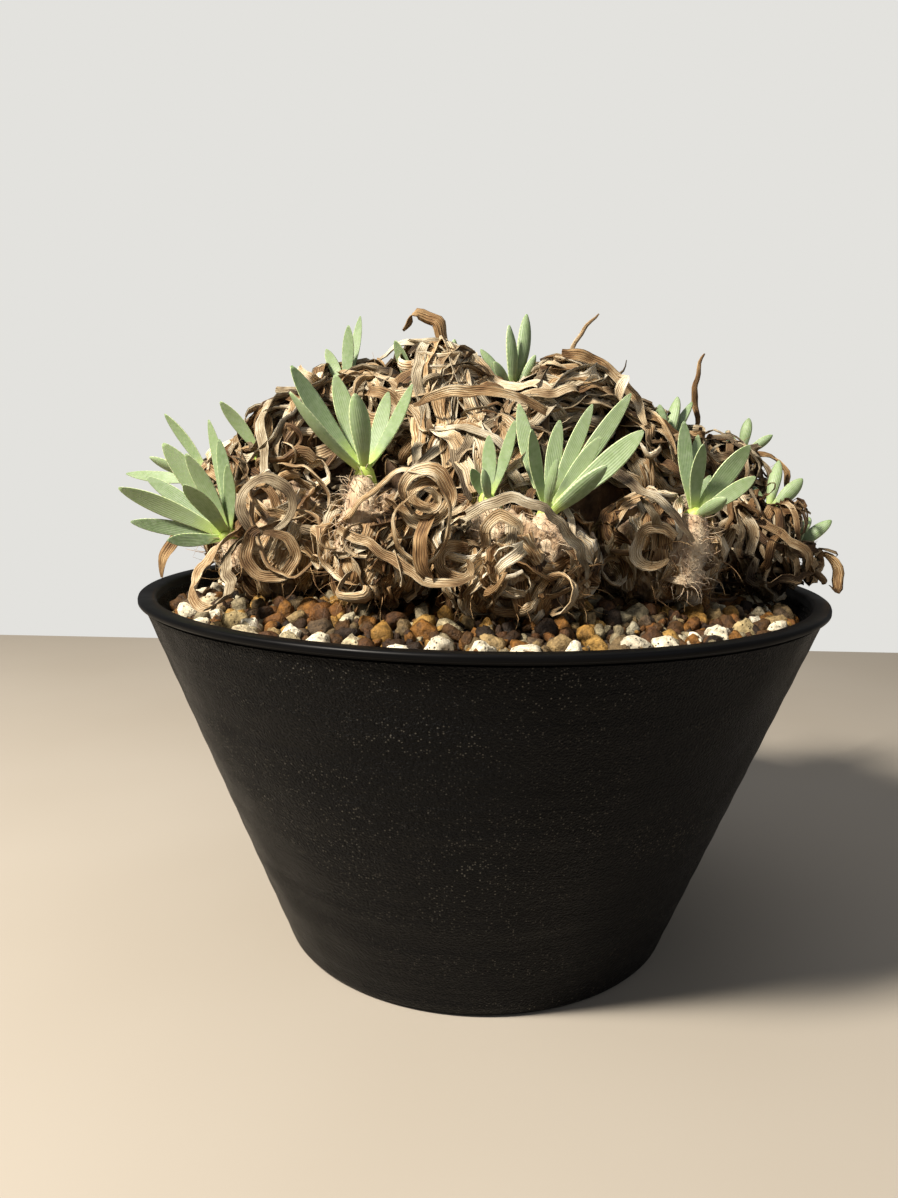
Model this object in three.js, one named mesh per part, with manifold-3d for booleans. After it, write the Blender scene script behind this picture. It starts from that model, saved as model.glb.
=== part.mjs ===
// A clump-forming succulent on a swollen rootstock, in a round black plastic pot 150 mm across.
// Millimetres, +Z up, -Y to the front. The origin is the middle of the pot's flat underside.
import * as THREE from 'three';
import { mergeVertices } from 'three/addons/utils/BufferGeometryUtils.js';
import Module from 'manifold-3d';

const wasm = await Module();
wasm.setup();

// Clearance left between pieces that touch, and the detail below which a cut edge is merged away
const GAP = 0.3;
const SMALLEST_EDGE = 0.12;

// Injection-moulded pot: a straight cone under a narrow rolled lip
const POT = {
  height: 80,
  rimRadius: 75,
  baseRadius: 44,
  lipHeight: 1.4,
  lipWidth: 3.7,
  lipStep: 0.5,
  lipRound: 0.5,
  wall: 2.4,
  floor: 3,
  sides: 32,
  drainHoles: 6,
  drainRadius: 3.5,
  drainRing: 24,
};

// Gritty potting mix, heaped towards the middle
const SOIL = {
  edgeHeight: 74.5,
  slopeHeight: 78.5,
  slopeRadius: 46,
  crownHeight: 80.5,
  crownRadius: 22,
  sides: 16,
};

// The grains on top of the mix, drawn larger than life: the largest radius, the spacing, the clearance
// to the wall, the most that one stands out of the mix, and the radius inside which the plant hides them
const GRAIN = {
  radius: 5.7,
  spacing: 10.6,
  inset: 0.8,
  rise: 3.8,
  hiddenRadius: 26,
  hiddenMargin: 4,
};

// Swollen rootstock: radius and height of each ring, from its tip up
const ROOTSTOCK = [
  [3, 40],
  [14, 50],
  [21, 64],
  [24, 76],
  [21, 88],
  [12, 98],
];
const ROOTSTOCK_SIDES = 12;

// Branches: the height where they leave the rootstock, how far out they start as a share of the
// head's distance, their radii, and how far short of the head's middle they end
const BRANCH = { height: 84, startShare: 0.2, rootRadius: 7, tipRadius: 5, short: 6.5, sides: 4 };

// Dead leaves: long straps that stay on the plant, flat outside and keeled inside, wound round each
// head in bands that lie a spacing in degrees apart
const STRAP = {
  width: 5,
  keel: 1.2,
  length: 28,
  step: 6.6,
  looseStep: 4.6,
  bands: 5,
  spacing: 25,
  longestSweep: 4.6,
  twist: 0.9,
  depth: 1.4,
  tries: 40,
};

// How far the axis that a head's straps wind round may lean from the head's own
const WHORL_LEAN = 1.2;

// The packed middle of a head, as a share of its radius
const CORE_SHARE = 0.78;

// Living leaves: fleshy blades, flat above and keeled below, widest above the middle. Widths are
// shares of the full width, and places are shares of the length.
const LEAF = {
  keel: 1.3,
  bend: 0.06,
  baseWidth: 0.4,
  fullAt: 0.6,
  shoulderAt: 0.88,
  shoulderWidth: 0.8,
};

// The leaves' short stem, sunk in the neck of dead leaves that carries it
const STEM = { radius: 1.9, tipRadius: 1.5, sink: 4, rise: 1.6, sides: 6 };
const NECK = { startShare: 0.3, rootRadius: 5, tipRadius: 3.4, sides: 6 };

// The way that the edge of a loose strap faces at its root
const LOOSE_SIDE = new THREE.Vector3(0.3, 1, 0.2);

const GOLDEN_ANGLE = Math.PI * (3 - Math.sqrt(5));

// One entry for each head of the clump. A head has a centre, a radius, and its rosettes. A rosette
// has a base and its leaves, each given by its tip from that base and its width.
const HEADS = [
  {
    name: 'front_left', centre: [-43, -14, 91], radius: [14, 13, 13], straps: 7,
    rosettes: [{
      base: [-52, -23, 92],
      leaves: [
        [-21, -4, 10, 4.4], [-19, 6, 12, 3.6], [-13, 0, 19, 5.0], [-7, -4, 17, 4.4],
        [-6, -9, 11, 4.6], [-5, 5, 24, 3.2], [-2, 2, 20, 3.2], [1, -3, 15, 3.0],
        [-10, -8, 0, 3.0], [-20, -1, 3, 3.4],
      ],
    }],
    loose: [
      [[-49, -28, 93], [-53, -38, 88], [-52, -45, 84], [-47, -49, 83]],
      [[-44, -26, 98], [-41, -33, 92], [-35, -35, 88], [-31, -32, 94], [-35, -29, 99]],
    ],
  },
  {
    name: 'front_centre_left', centre: [-19, -34, 92], radius: [11, 11, 11], straps: 5,
    rosettes: [{
      base: [-22, -38, 106],
      leaves: [
        [-13, -2, 19, 4.2], [-12, -8, 14, 3.2], [-6, 4, 18, 4.0], [-1, -5, 14, 4.2],
        [4, 5, 15, 3.2], [9, -1, 16, 3.2],
      ],
    }],
    loose: [],
  },
  {
    name: 'front_centre', centre: [6, -37, 90], radius: [15, 12, 12], straps: 8,
    rosettes: [
      {
        base: [1, -42, 101],
        leaves: [[0, 2, 12, 3.2], [4.6, 0, 14.6, 2.6], [-3, -2, 6, 2.4], [-1, -4, 6, 2.2]],
      },
      {
        base: [12, -42, 99],
        leaves: [
          [-5.5, 8, 20, 3.4], [-3.6, -4, 15, 3.0], [2, 5, 17, 3.2], [1, -5, 10, 2.8],
          [8, 6, 20, 3.0], [15, 6, 22, 3.4], [9, 0, 14, 3.0], [16, -3, 15, 4.6],
          [9, -9, 9, 3.9],
        ],
      },
    ],
    loose: [[[-8, -44, 103], [-6, -49, 97], [-12, -49, 90], [-16, -46, 95], [-13, -46, 101]]],
  },
  {
    name: 'middle_front', centre: [1, -25, 103], radius: [16, 13, 13], straps: 6, rosettes: [],
    loose: [],
  },
  {
    name: 'front_right', centre: [36, -20, 91], radius: [12, 12, 11], straps: 6,
    rosettes: [{
      base: [42, -26, 98],
      leaves: [
        [-2.4, 3, 18.6, 3.4], [0, -4, 14, 3.6], [1, 5, 16, 3.0], [10, 0, 14, 4.4],
        [10, -5, 8, 3.2], [4, -8, 4, 3.0], [3.4, 3, 8, 2.4],
      ],
    }],
    loose: [],
  },
  {
    name: 'right', centre: [62, -1, 90], radius: [13, 12, 12], straps: 6,
    rosettes: [
      { base: [70, 0, 88], leaves: [[8, -2, 8, 3.4], [6, 6, 8, 3.4], [1, -5, 7, 2.8]] },
      { base: [66, 5, 97], leaves: [[7, -1, 8, 3.6], [3, 4, 12, 3.2], [-3, 3, 6, 2.4]] },
    ],
    loose: [[[68, -7, 88], [75, -8, 88], [79, -8, 85], [78.4, -9, 82]]],
  },
  {
    name: 'middle_left', centre: [-41, -2, 108], radius: [14, 13, 13], straps: 6,
    rosettes: [{ base: [-48, -9, 108], leaves: [[-8.5, -2, 12, 3.4]] }],
    loose: [],
  },
  {
    name: 'crown_left', centre: [-11, -8, 118], radius: [15, 13, 14], straps: 7,
    rosettes: [{ base: [-15, -9, 120], leaves: [[-4, -2, 13, 3.6]] }],
    loose: [[[-9, -3, 126], [-8, -2, 133], [-10, -2, 139], [-15, -3, 140.4], [-18.5, -4, 136.5]]],
  },
  {
    name: 'crown_right', centre: [15, -6, 117], radius: [14, 13, 13], straps: 7,
    rosettes: [{
      base: [6, -4, 122],
      leaves: [
        [3, 3, 18, 3.6], [-1, -2, 15, 3.6], [-7, -1, 10, 2.6], [-4, -6, 7, 2.4], [5, 0, 9, 2.6],
      ],
    }],
    loose: [[[21, 0, 122], [28, 4, 126], [31, 4, 131]]],
  },
  {
    name: 'middle_right', centre: [36, 1, 109], radius: [13, 13, 12], straps: 6,
    rosettes: [{ base: [42, 2, 110], leaves: [[-3, -2, 11, 3.6], [2, 3, 13, 3.6], [6, 6, 12, 3.4]] }],
    loose: [[[48, 7, 110], [50, 9, 118], [49, 9, 126], [50, 9, 133]]],
  },
  {
    name: 'right_shoulder', centre: [56, 15, 103], radius: [12, 12, 12], straps: 5,
    rosettes: [{ base: [63, 18, 110], leaves: [[1, 0, 9, 3.0], [-4, 1, 6, 2.6], [6, -3, 5, 2.4]] }],
    loose: [[[64, 13, 105], [69, 11, 108], [71, 9, 104]]],
  },
  {
    name: 'left_shoulder', centre: [-31, 14, 118], radius: [13, 12, 13], straps: 5,
    rosettes: [{ base: [-33, 11, 124], leaves: [[1, 0, 15, 3.6], [-5, 4, 10, 3.0], [3, 6, 18, 2.6]] }],
    loose: [],
  },
  {
    name: 'left', centre: [-56, 9, 99], radius: [13, 13, 13], straps: 6,
    rosettes: [{ base: [-64, 5, 103], leaves: [[-11, 2, 15, 3.2], [-20, 0, 1, 3.4], [-12, -6, 5, 3.0]] }],
    loose: [[[-65, -5, 95], [-69, -9, 91], [-70, -10, 84]]],
  },
  { name: 'back_left_high', centre: [-38, 35, 103], radius: [13, 13, 12], straps: 5, rosettes: 5 },
  { name: 'crown_back', centre: [-8, 21, 109], radius: [14, 13, 12], straps: 4, rosettes: 4 },
  { name: 'back_right_high', centre: [20, 27, 104], radius: [13, 13, 12], straps: 5, rosettes: 5 },
  { name: 'back_right_low', centre: [46, 37, 95], radius: [12, 12, 11], straps: 4, rosettes: 6 },
  { name: 'back_centre_left', centre: [-19, 52, 92], radius: [12, 12, 12], straps: 4, rosettes: 6 },
  { name: 'back_centre_right', centre: [10, 54, 92], radius: [12, 12, 12], straps: 4, rosettes: 5 },
  { name: 'back_left_low', centre: [-46, 41, 89], radius: [12, 12, 10], straps: 4, rosettes: 6 },
];

// The outer rise of the whole clump, used to point a head outwards
const DOME_CENTRE = new THREE.Vector3(0, 5, 66);

const MATERIALS = {
  pot: new THREE.MeshStandardMaterial({ color: 0x1d1e20, roughness: 0.55, metalness: 0 }),
  soil: new THREE.MeshStandardMaterial({ color: 0x8a6a45, roughness: 0.95, metalness: 0 }),
  bark: new THREE.MeshStandardMaterial({ color: 0x6b5138, roughness: 0.9, metalness: 0 }),
  dry: new THREE.MeshStandardMaterial({ color: 0x9c7f5c, roughness: 0.85, metalness: 0 }),
  leaf: new THREE.MeshStandardMaterial({ color: 0x86a36c, roughness: 0.55, metalness: 0 }),
};

// Numbers from 0 to 1 that come out the same on every run
function seededRandom(seed) {
  let state = seed;
  return () => {
    state = (state + 0x6d2b79f5) | 0;
    let mixed = Math.imul(state ^ (state >>> 15), 1 | state);
    mixed = (mixed + Math.imul(mixed ^ (mixed >>> 7), 61 | mixed)) ^ mixed;
    return ((mixed ^ (mixed >>> 14)) >>> 0) / 4294967296;
  };
}

function vector(values) {
  return new THREE.Vector3(...values);
}

// A closed geometry, turned into a solid that can be joined and cut
function toSolid(geometry) {
  const plain = geometry.clone();
  plain.deleteAttribute('normal');
  plain.deleteAttribute('uv');
  const merged = mergeVertices(plain, 1e-4);
  return new wasm.Manifold(new wasm.Mesh({
    numProp: 3,
    vertProperties: new Float32Array(merged.attributes.position.array),
    triVerts: new Uint32Array(merged.index.array),
  }));
}

// A solid, turned into a named mesh
function toMesh(name, solid, material) {
  const { vertProperties, triVerts } = solid.getMesh();
  const geometry = new THREE.BufferGeometry();
  geometry.setAttribute('position', new THREE.BufferAttribute(new Float32Array(vertProperties), 3));
  geometry.setIndex(new THREE.BufferAttribute(new Uint32Array(triVerts), 1));
  geometry.computeVertexNormals();
  const mesh = new THREE.Mesh(geometry, material);
  mesh.name = name;
  return mesh;
}

// The largest single body in a solid, without the loose scraps and tiny edges left by its cuts
function largestBody(solid) {
  const bodies = solid.asOriginal().simplify(SMALLEST_EDGE).decompose();
  return bodies.reduce((best, body) => (body.volume() > best.volume() ? body : best));
}

// A closed skin over rings of points. Each ring has as many points as the first, and an end
// ring may be a single point.
function loft(rings) {
  const positions = [];
  const faces = [];
  const starts = rings.map((ring) => {
    const start = positions.length / 3;
    ring.forEach((point) => positions.push(point.x, point.y, point.z));
    return start;
  });
  for (let i = 0; i + 1 < rings.length; i += 1) {
    const sides = Math.max(rings[i].length, rings[i + 1].length);
    for (let side = 0; side < sides; side += 1) {
      const next = (side + 1) % sides;
      const lower = (k) => starts[i] + (k % rings[i].length);
      const upper = (k) => starts[i + 1] + (k % rings[i + 1].length);
      if (rings[i].length > 1) faces.push(lower(side), lower(next), upper(side));
      if (rings[i + 1].length > 1) faces.push(lower(next), upper(next), upper(side));
    }
  }
  const last = rings.length - 1;
  for (let k = 1; k + 1 < rings[0].length; k += 1) {
    faces.push(starts[0], starts[0] + k + 1, starts[0] + k);
  }
  for (let k = 1; k + 1 < rings[last].length; k += 1) {
    faces.push(starts[last], starts[last] + k, starts[last] + k + 1);
  }
  const geometry = new THREE.BufferGeometry();
  geometry.setAttribute('position', new THREE.BufferAttribute(new Float32Array(positions), 3));
  geometry.setIndex(faces);
  return geometry;
}

// A straight tapered rod between two points
function rod(from, to, fromRadius, toRadius, sides) {
  const direction = to.clone().sub(from).normalize();
  const turn = new THREE.Quaternion().setFromUnitVectors(new THREE.Vector3(0, 0, 1), direction);
  const ring = (centre, radius) => Array.from({ length: sides }, (_, k) => {
    const angle = (2 * Math.PI * k) / sides;
    const spoke = new THREE.Vector3(radius * Math.cos(angle), radius * Math.sin(angle), 0);
    return spoke.applyQuaternion(turn).add(centre);
  });
  return toSolid(loft([ring(from, fromRadius), ring(to, toRadius)]));
}

// A solid of revolution about the Z axis, from a closed outline of [radius, height] points
function revolve(outline, sides) {
  const points = outline.map(([radius, height]) => new THREE.Vector2(radius, height));
  const geometry = new THREE.LatheGeometry(points, sides);
  geometry.rotateX(Math.PI / 2);
  return toSolid(geometry);
}

// The pot's outer radius at a height, under the lip
function potRadius(height) {
  const top = POT.rimRadius - POT.lipStep;
  return POT.baseRadius + ((top - POT.baseRadius) * height) / POT.height;
}

// The height at which the wall's inside starts to lean out to the lip
const SHOULDER = POT.height - 2 * POT.lipWidth;
const INNER_RIM = POT.rimRadius - POT.lipWidth;

// The pot's inner radius at a height
function innerRadius(height) {
  const leanShare = Math.max(0, (height - SHOULDER) / POT.lipWidth);
  const wallRadius = potRadius(Math.min(height, SHOULDER)) - POT.wall;
  return THREE.MathUtils.lerp(wallRadius, INNER_RIM, Math.min(1, leanShare));
}

function makePot() {
  const { height, rimRadius, lipHeight, lipWidth, lipRound, floor } = POT;
  const lipFoot = height - lipHeight;
  const body = revolve([
    [0, 0],
    [POT.baseRadius, 0],
    [potRadius(lipFoot), lipFoot],
    [rimRadius, lipFoot + 0.2],
    [rimRadius, height - lipRound],
    [rimRadius - lipRound, height],
    [INNER_RIM, height - lipRound],
    [INNER_RIM, height - lipWidth],
    [innerRadius(SHOULDER), SHOULDER],
    [innerRadius(floor), floor],
    [0, floor],
  ], POT.sides);
  const holes = Array.from({ length: POT.drainHoles }, (_, k) => {
    const angle = (2 * Math.PI * k) / POT.drainHoles;
    const drill = new THREE.CylinderGeometry(POT.drainRadius, POT.drainRadius, 3 * floor, 10);
    drill.rotateX(Math.PI / 2);
    drill.translate(POT.drainRing * Math.cos(angle), POT.drainRing * Math.sin(angle), floor / 2);
    return toSolid(drill);
  });
  return body.subtract(wasm.Manifold.union(holes));
}

const SOIL_EDGE = innerRadius(SOIL.edgeHeight) - 1.2 * GAP;

// Height of the potting mix at a distance from the middle, without its grains
function soilHeight(radius) {
  const { edgeHeight, slopeHeight, slopeRadius, crownHeight, crownRadius } = SOIL;
  if (radius > slopeRadius) {
    const share = (SOIL_EDGE - radius) / (SOIL_EDGE - slopeRadius);
    return edgeHeight + (slopeHeight - edgeHeight) * share;
  }
  const share = Math.min(1, (slopeRadius - radius) / (slopeRadius - crownRadius));
  return slopeHeight + (crownHeight - slopeHeight) * share;
}

// The rootstock's body, grown outwards by an offset
function rootstock(offset) {
  const outline = ROOTSTOCK.map(([radius, height]) => [radius + offset, height]);
  const bottom = ROOTSTOCK[0][1] - offset;
  const top = ROOTSTOCK[ROOTSTOCK.length - 1][1] + offset;
  outline[0][1] = bottom;
  outline[outline.length - 1][1] = top;
  return revolve([[0, bottom], ...outline, [0, top]], ROOTSTOCK_SIDES);
}

// A branch from the rootstock to just short of a head's middle
function branch(head, offset) {
  const end = vector(head.centre);
  const root = new THREE.Vector3(end.x, end.y, 0).multiplyScalar(BRANCH.startShare);
  root.z = BRANCH.height;
  const reach = 1.2 * offset;
  end.addScaledVector(end.clone().sub(root).normalize(), reach - BRANCH.short);
  return rod(root, end, BRANCH.rootRadius + reach, BRANCH.tipRadius + reach, BRANCH.sides);
}

function makeCaudex(offset) {
  return wasm.Manifold.union([rootstock(offset), ...HEADS.map((head) => branch(head, offset))]);
}

// Whether a spot on the ground lies well under a head, where its grains can't be seen
function underHead(x, y) {
  return HEADS.some(({ centre, radius }) => (
    ((x - centre[0]) / (radius[0] - GRAIN.hiddenMargin)) ** 2
      + ((y - centre[1]) / (radius[1] - GRAIN.hiddenMargin)) ** 2 < 1
  ));
}

// One angular grain at a spot, with its top at a share of the full rise over the mix
function grainSolid(x, y, random) {
  const radius = GRAIN.radius * (0.7 + 0.3 * random());
  const grain = new THREE.IcosahedronGeometry(radius, 0);
  grain.scale(1, 0.8 + 0.2 * random(), 0.85);
  grain.rotateX(random() * Math.PI);
  grain.rotateZ(random() * Math.PI);
  grain.computeBoundingBox();
  const top = soilHeight(Math.hypot(x, y)) + GRAIN.rise * (0.7 + 0.3 * random());
  grain.translate(x, y, top - grain.boundingBox.max.z);
  return toSolid(grain);
}

function makeSoil(caudexRoom) {
  const random = seededRandom(11);
  const bottom = POT.floor + GAP;
  const { slopeRadius, crownRadius } = SOIL;
  const bulk = revolve([
    [0, bottom],
    [innerRadius(bottom) - 1.2 * GAP, bottom],
    [innerRadius(SHOULDER) - 1.2 * GAP, SHOULDER],
    [SOIL_EDGE, SOIL.edgeHeight],
    [slopeRadius, soilHeight(slopeRadius)],
    [crownRadius, soilHeight(crownRadius)],
    [0, soilHeight(0)],
  ], SOIL.sides);
  const grains = [];
  const outermost = SOIL_EDGE - GRAIN.radius - GRAIN.inset;
  for (let ring = outermost; ring > GRAIN.hiddenRadius; ring -= 0.9 * GRAIN.spacing) {
    const count = Math.round((2 * Math.PI * ring) / GRAIN.spacing);
    for (let k = 0; k < count; k += 1) {
      const angle = (2 * Math.PI * (k + 0.5 * random())) / count + ring;
      const x = ring * Math.cos(angle);
      const y = ring * Math.sin(angle);
      if (underHead(x, y)) {
        continue;
      }
      grains.push(grainSolid(x, y, random));
    }
  }
  const heap = wasm.Manifold.union([bulk, ...grains]);
  return largestBody(heap.subtract(caudexRoom));
}

// Everything that the heads have to stay above: the heaped mix with its grains, and the pot's lip
function makeGround() {
  const rise = GRAIN.rise + 2 * GAP;
  return revolve([
    [0, 0],
    [POT.rimRadius + 1, 0],
    [POT.rimRadius + 1, POT.height + GAP],
    [INNER_RIM - GAP, POT.height + GAP],
    [INNER_RIM - 2 * GAP, SOIL.edgeHeight + rise],
    [SOIL.slopeRadius, soilHeight(SOIL.slopeRadius) + rise],
    [0, soilHeight(0) + rise],
  ], POT.sides);
}

// How high a point stands above the ground
function headroom(point) {
  const radius = Math.hypot(point.x, point.y);
  const floor = radius > INNER_RIM - 2 ? POT.height : soilHeight(radius) + GRAIN.rise;
  return point.z - floor - 2 * GAP;
}

// The direction in which a head grows
function headAxis(head) {
  return vector(head.centre).sub(DOME_CENTRE).normalize();
}

function meanRadius(head) {
  return (head.radius[0] + head.radius[1] + head.radius[2]) / 3;
}

// The flat boundary between a head's space and a neighbour's, as a distance from the head's
// centre towards the neighbour's
function boundaryTo(head, other) {
  const toOther = vector(other.centre).sub(vector(head.centre));
  const distance = toOther.length();
  const spare = meanRadius(head) ** 2 - meanRadius(other) ** 2;
  return {
    direction: toOther.divideScalar(distance),
    distance: (distance ** 2 + spare) / (2 * distance) - GAP / 2,
  };
}

// How deep a point lies inside a head's own space
function depthInSpace(head, point) {
  const offset = point.clone().sub(vector(head.centre));
  return Math.min(...HEADS.filter((other) => other !== head).map((other) => {
    const { direction, distance } = boundaryTo(head, other);
    return distance - offset.dot(direction);
  }));
}

function cutToSpace(head, solid) {
  const centre = vector(head.centre);
  return HEADS.filter((other) => other !== head).reduce((rest, other) => {
    const { direction, distance } = boundaryTo(head, other);
    const inwards = direction.clone().negate();
    return rest.trimByPlane(inwards.toArray(), inwards.dot(centre) - distance);
  }, solid);
}

// Leaves of a rosette that the rule places: a spiral that opens from the middle outwards
function spiralLeaves(count, axis, random) {
  const side = new THREE.Vector3(0, 0, 1).cross(axis).normalize();
  return Array.from({ length: count }, (_, k) => {
    const tilt = THREE.MathUtils.degToRad(14 + 46 * (k / count) + 8 * random());
    const around = k * GOLDEN_ANGLE + random();
    const length = 19 - 6 * (k / count) - 4 * random();
    const lean = side.clone().applyAxisAngle(axis, around);
    const tip = axis.clone().applyAxisAngle(lean, tilt).multiplyScalar(length);
    return [tip.x, tip.y, tip.z, 3.4 + random()];
  });
}

// The rosettes of a head, with any that the table only counts worked out
function rosettesOf(head) {
  if (Array.isArray(head.rosettes)) {
    return head.rosettes;
  }
  const random = seededRandom(HEADS.indexOf(head) + 300);
  const axis = headAxis(head);
  const base = vector(head.centre).addScaledVector(axis, meanRadius(head));
  return [{ base: base.toArray(), leaves: spiralLeaves(head.rosettes, axis, random) }];
}

// The way a rosette faces: from its head's centre through its base
function rosetteAxis(head, rosette) {
  return vector(rosette.base).sub(vector(head.centre)).normalize();
}

// One leaf, grown outwards by an offset
function leafSolid(base, [x, y, z, width], axis, offset) {
  const along = new THREE.Vector3(x, y, z);
  const direction = along.clone().normalize();
  const face = axis.clone().addScaledVector(direction, -axis.dot(direction));
  face.normalize();
  const side = direction.clone().cross(face);
  const bend = along.length() * LEAF.bend;
  const corner = 3.4 * offset;
  const section = (share, relative) => {
    const centre = base.clone().addScaledVector(along, share);
    centre.addScaledVector(face, -bend * Math.sin(Math.PI * share) + offset);
    const half = (width * relative) / 2 + corner;
    const keel = LEAF.keel * (0.4 + 0.6 * relative) + 2 * offset;
    return [
      centre.clone().addScaledVector(side, half),
      centre.clone().addScaledVector(face, -keel),
      centre.clone().addScaledVector(side, -half),
    ];
  };
  const reach = offset / along.length();
  const tip = base.clone().addScaledVector(along, 1 + 3 * reach);
  tip.addScaledVector(face, -0.3 * LEAF.keel);
  return toSolid(loft([
    section(-reach, LEAF.baseWidth),
    section(LEAF.fullAt, 1),
    section(LEAF.shoulderAt, LEAF.shoulderWidth),
    [tip],
  ]));
}

// One rosette with its short stem sunk in the head, grown outwards by an offset
function rosetteSolid(head, rosette, offset) {
  const axis = rosetteAxis(head, rosette);
  const base = vector(rosette.base);
  const foot = base.clone().addScaledVector(axis, -STEM.sink - offset);
  const top = base.clone().addScaledVector(axis, STEM.rise + offset);
  const grown = 1.2 * offset;
  const stem = rod(foot, top, STEM.radius + grown, STEM.tipRadius + grown, STEM.sides);
  const leaves = rosette.leaves.map((leaf) => leafSolid(base, leaf, axis, offset));
  return wasm.Manifold.union([stem, ...leaves]);
}

// Points along the middle of every living leaf, which the dead leaves grow round
const LEAF_POINTS = HEADS.flatMap((head) => rosettesOf(head).flatMap((rosette) => (
  rosette.leaves.flatMap(([x, y, z]) => [0.1, 0.3, 0.5, 0.7, 0.9].map((share) => (
    vector(rosette.base).add(new THREE.Vector3(x, y, z).multiplyScalar(share))
  )))
)));

function clearOfLeaves(point, distance) {
  return LEAF_POINTS.every((leafPoint) => leafPoint.distanceTo(point) > distance);
}

// A strap's closed skin along a list of frames, narrowed at its root and pointed at its tip
function strapSolid(frames) {
  const last = frames.length - 1;
  const rings = frames.slice(0, last).map(({ point, curl, side }, k) => {
    const narrow = k === 0 ? 0.7 : 1 - 0.45 * (k / last) ** 3;
    const half = (STRAP.width * narrow) / 2;
    return [
      point.clone().addScaledVector(side, half),
      point.clone().addScaledVector(side, -half),
      point.clone().addScaledVector(curl, STRAP.keel),
    ];
  });
  return toSolid(loft([...rings, [frames[last].point]]));
}

// A point over a head's surface: its angle from the head's axis, its turn round that axis, and its
// height over the surface as a share of the head's radius
function overHead(head, axis, tilt, around, height) {
  const sideways = new THREE.Vector3(0, 0, 1).cross(axis).normalize();
  sideways.applyAxisAngle(axis, around);
  const spoke = axis.clone().applyAxisAngle(sideways, tilt).multiply(vector(head.radius));
  return vector(head.centre).addScaledVector(spoke, 1 + height);
}

// Whether a point is in its head's own space, above the ground and clear of the living leaves
function fits(head, point, depth) {
  return depthInSpace(head, point) > depth && headroom(point) > depth
    && clearOfLeaves(point, STRAP.width / 2 + depth);
}

// A point, moved towards its head's centre until it fits there
function settled(head, point) {
  const shares = [1, 0.92, 0.84, 0.76, 0.68, 0.6, 0.52];
  const places = shares.map((share) => vector(head.centre).lerp(point, share));
  return places.find((place) => fits(head, place, STRAP.depth)) ?? places[places.length - 1];
}

// The axis that a head's dead leaves wind round: outwards, with a lean of its own
function whorlAxis(head, random) {
  const lean = new THREE.Vector3(random() - 0.5, random() - 0.5, random() - 0.5);
  return headAxis(head).addScaledVector(lean, WHORL_LEAN).normalize();
}

// The route of one strap: out of the head, round the whorl in a band of its own, then out or in again
// at its tip
function strapRoute(head, axis, order, random) {
  const tilt = THREE.MathUtils.degToRad(20 + STRAP.spacing * (order % STRAP.bands) + 8 * random());
  const start = order * GOLDEN_ANGLE + random();
  const fullSweep = STRAP.length / (meanRadius(head) * Math.sin(tilt));
  const sweep = Math.min(STRAP.longestSweep, fullSweep);
  const drift = (random() - 0.5) * 0.5;
  const rise = 0.08 + 0.14 * random();
  const curl = random() < 0.6 ? 0.3 : -0.25;
  return [
    [-0.2, -0.45],
    [0, 0.5 * rise],
    [0.25, rise],
    [0.5, rise],
    [0.75, 0.8 * rise],
    [1, 0.8 * rise + curl],
  ].map(([share, height]) => (
    settled(head, overHead(head, axis, tilt + drift * share, start + sweep * share, height))
  ));
}

// A strap along a smooth curve through a route's points, with its flat kept turned one way. It ends
// where the keep rule, if there is one, first fails.
function strapFrames(route, sideAtRoot, step, keep = () => true) {
  const curve = new THREE.CatmullRomCurve3(route);
  const steps = Math.max(4, Math.round(curve.getLength() / step));
  const side = sideAtRoot.clone();
  const frames = [];
  for (let k = 0; k <= steps; k += 1) {
    const point = curve.getPointAt(k / steps);
    const heading = curve.getTangentAt(k / steps);
    if (!keep(point)) {
      break;
    }
    side.addScaledVector(heading, -side.dot(heading)).normalize();
    frames.push({ point, curl: side.clone().cross(heading), side: side.clone() });
  }
  return frames;
}

// A strap that the rule places
function growStrap(head, axis, order, random) {
  const route = strapRoute(head, axis, order, random);
  const heading = route[2].clone().sub(route[1]).normalize();
  const outward = route[2].clone().sub(vector(head.centre));
  const side = outward.clone().cross(heading).normalize();
  side.applyAxisAngle(heading, (random() - 0.5) * STRAP.twist);
  return strapFrames(route, side, STRAP.step, (point) => fits(head, point, STRAP.depth / 2));
}

// The packed middle of a head, well inside the straps that stand out of it
function coreSolid(head, random) {
  const core = new THREE.IcosahedronGeometry(CORE_SHARE, 0);
  core.rotateX(Math.PI * random());
  core.rotateZ(Math.PI * random());
  core.scale(...head.radius);
  core.translate(...head.centre);
  return toSolid(core);
}

function makeHead(head, caudexRoom, ground, rosetteRoom) {
  const random = seededRandom(HEADS.indexOf(head) + 40);
  const pieces = [coreSolid(head, random)];
  for (const rosette of rosettesOf(head)) {
    const base = vector(rosette.base);
    const root = vector(head.centre).lerp(base, NECK.startShare);
    pieces.push(rod(root, base, NECK.rootRadius, NECK.tipRadius, NECK.sides));
  }
  const axis = whorlAxis(head, random);
  let grown = 0;
  for (let order = 0; order < STRAP.tries && grown < head.straps; order += 1) {
    const frames = growStrap(head, axis, order, random);
    if (frames.length > 4) {
      pieces.push(strapSolid(frames));
      grown += 1;
    }
  }
  for (const points of head.loose ?? []) {
    const root = vector(points[0]).lerp(vector(head.centre), 0.5);
    const route = [root, ...points.map(vector)];
    pieces.push(strapSolid(strapFrames(route, LOOSE_SIDE, STRAP.looseStep)));
  }
  const joined = cutToSpace(head, wasm.Manifold.union(pieces));
  return largestBody(joined.subtract(ground).subtract(caudexRoom).subtract(rosetteRoom));
}

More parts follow.
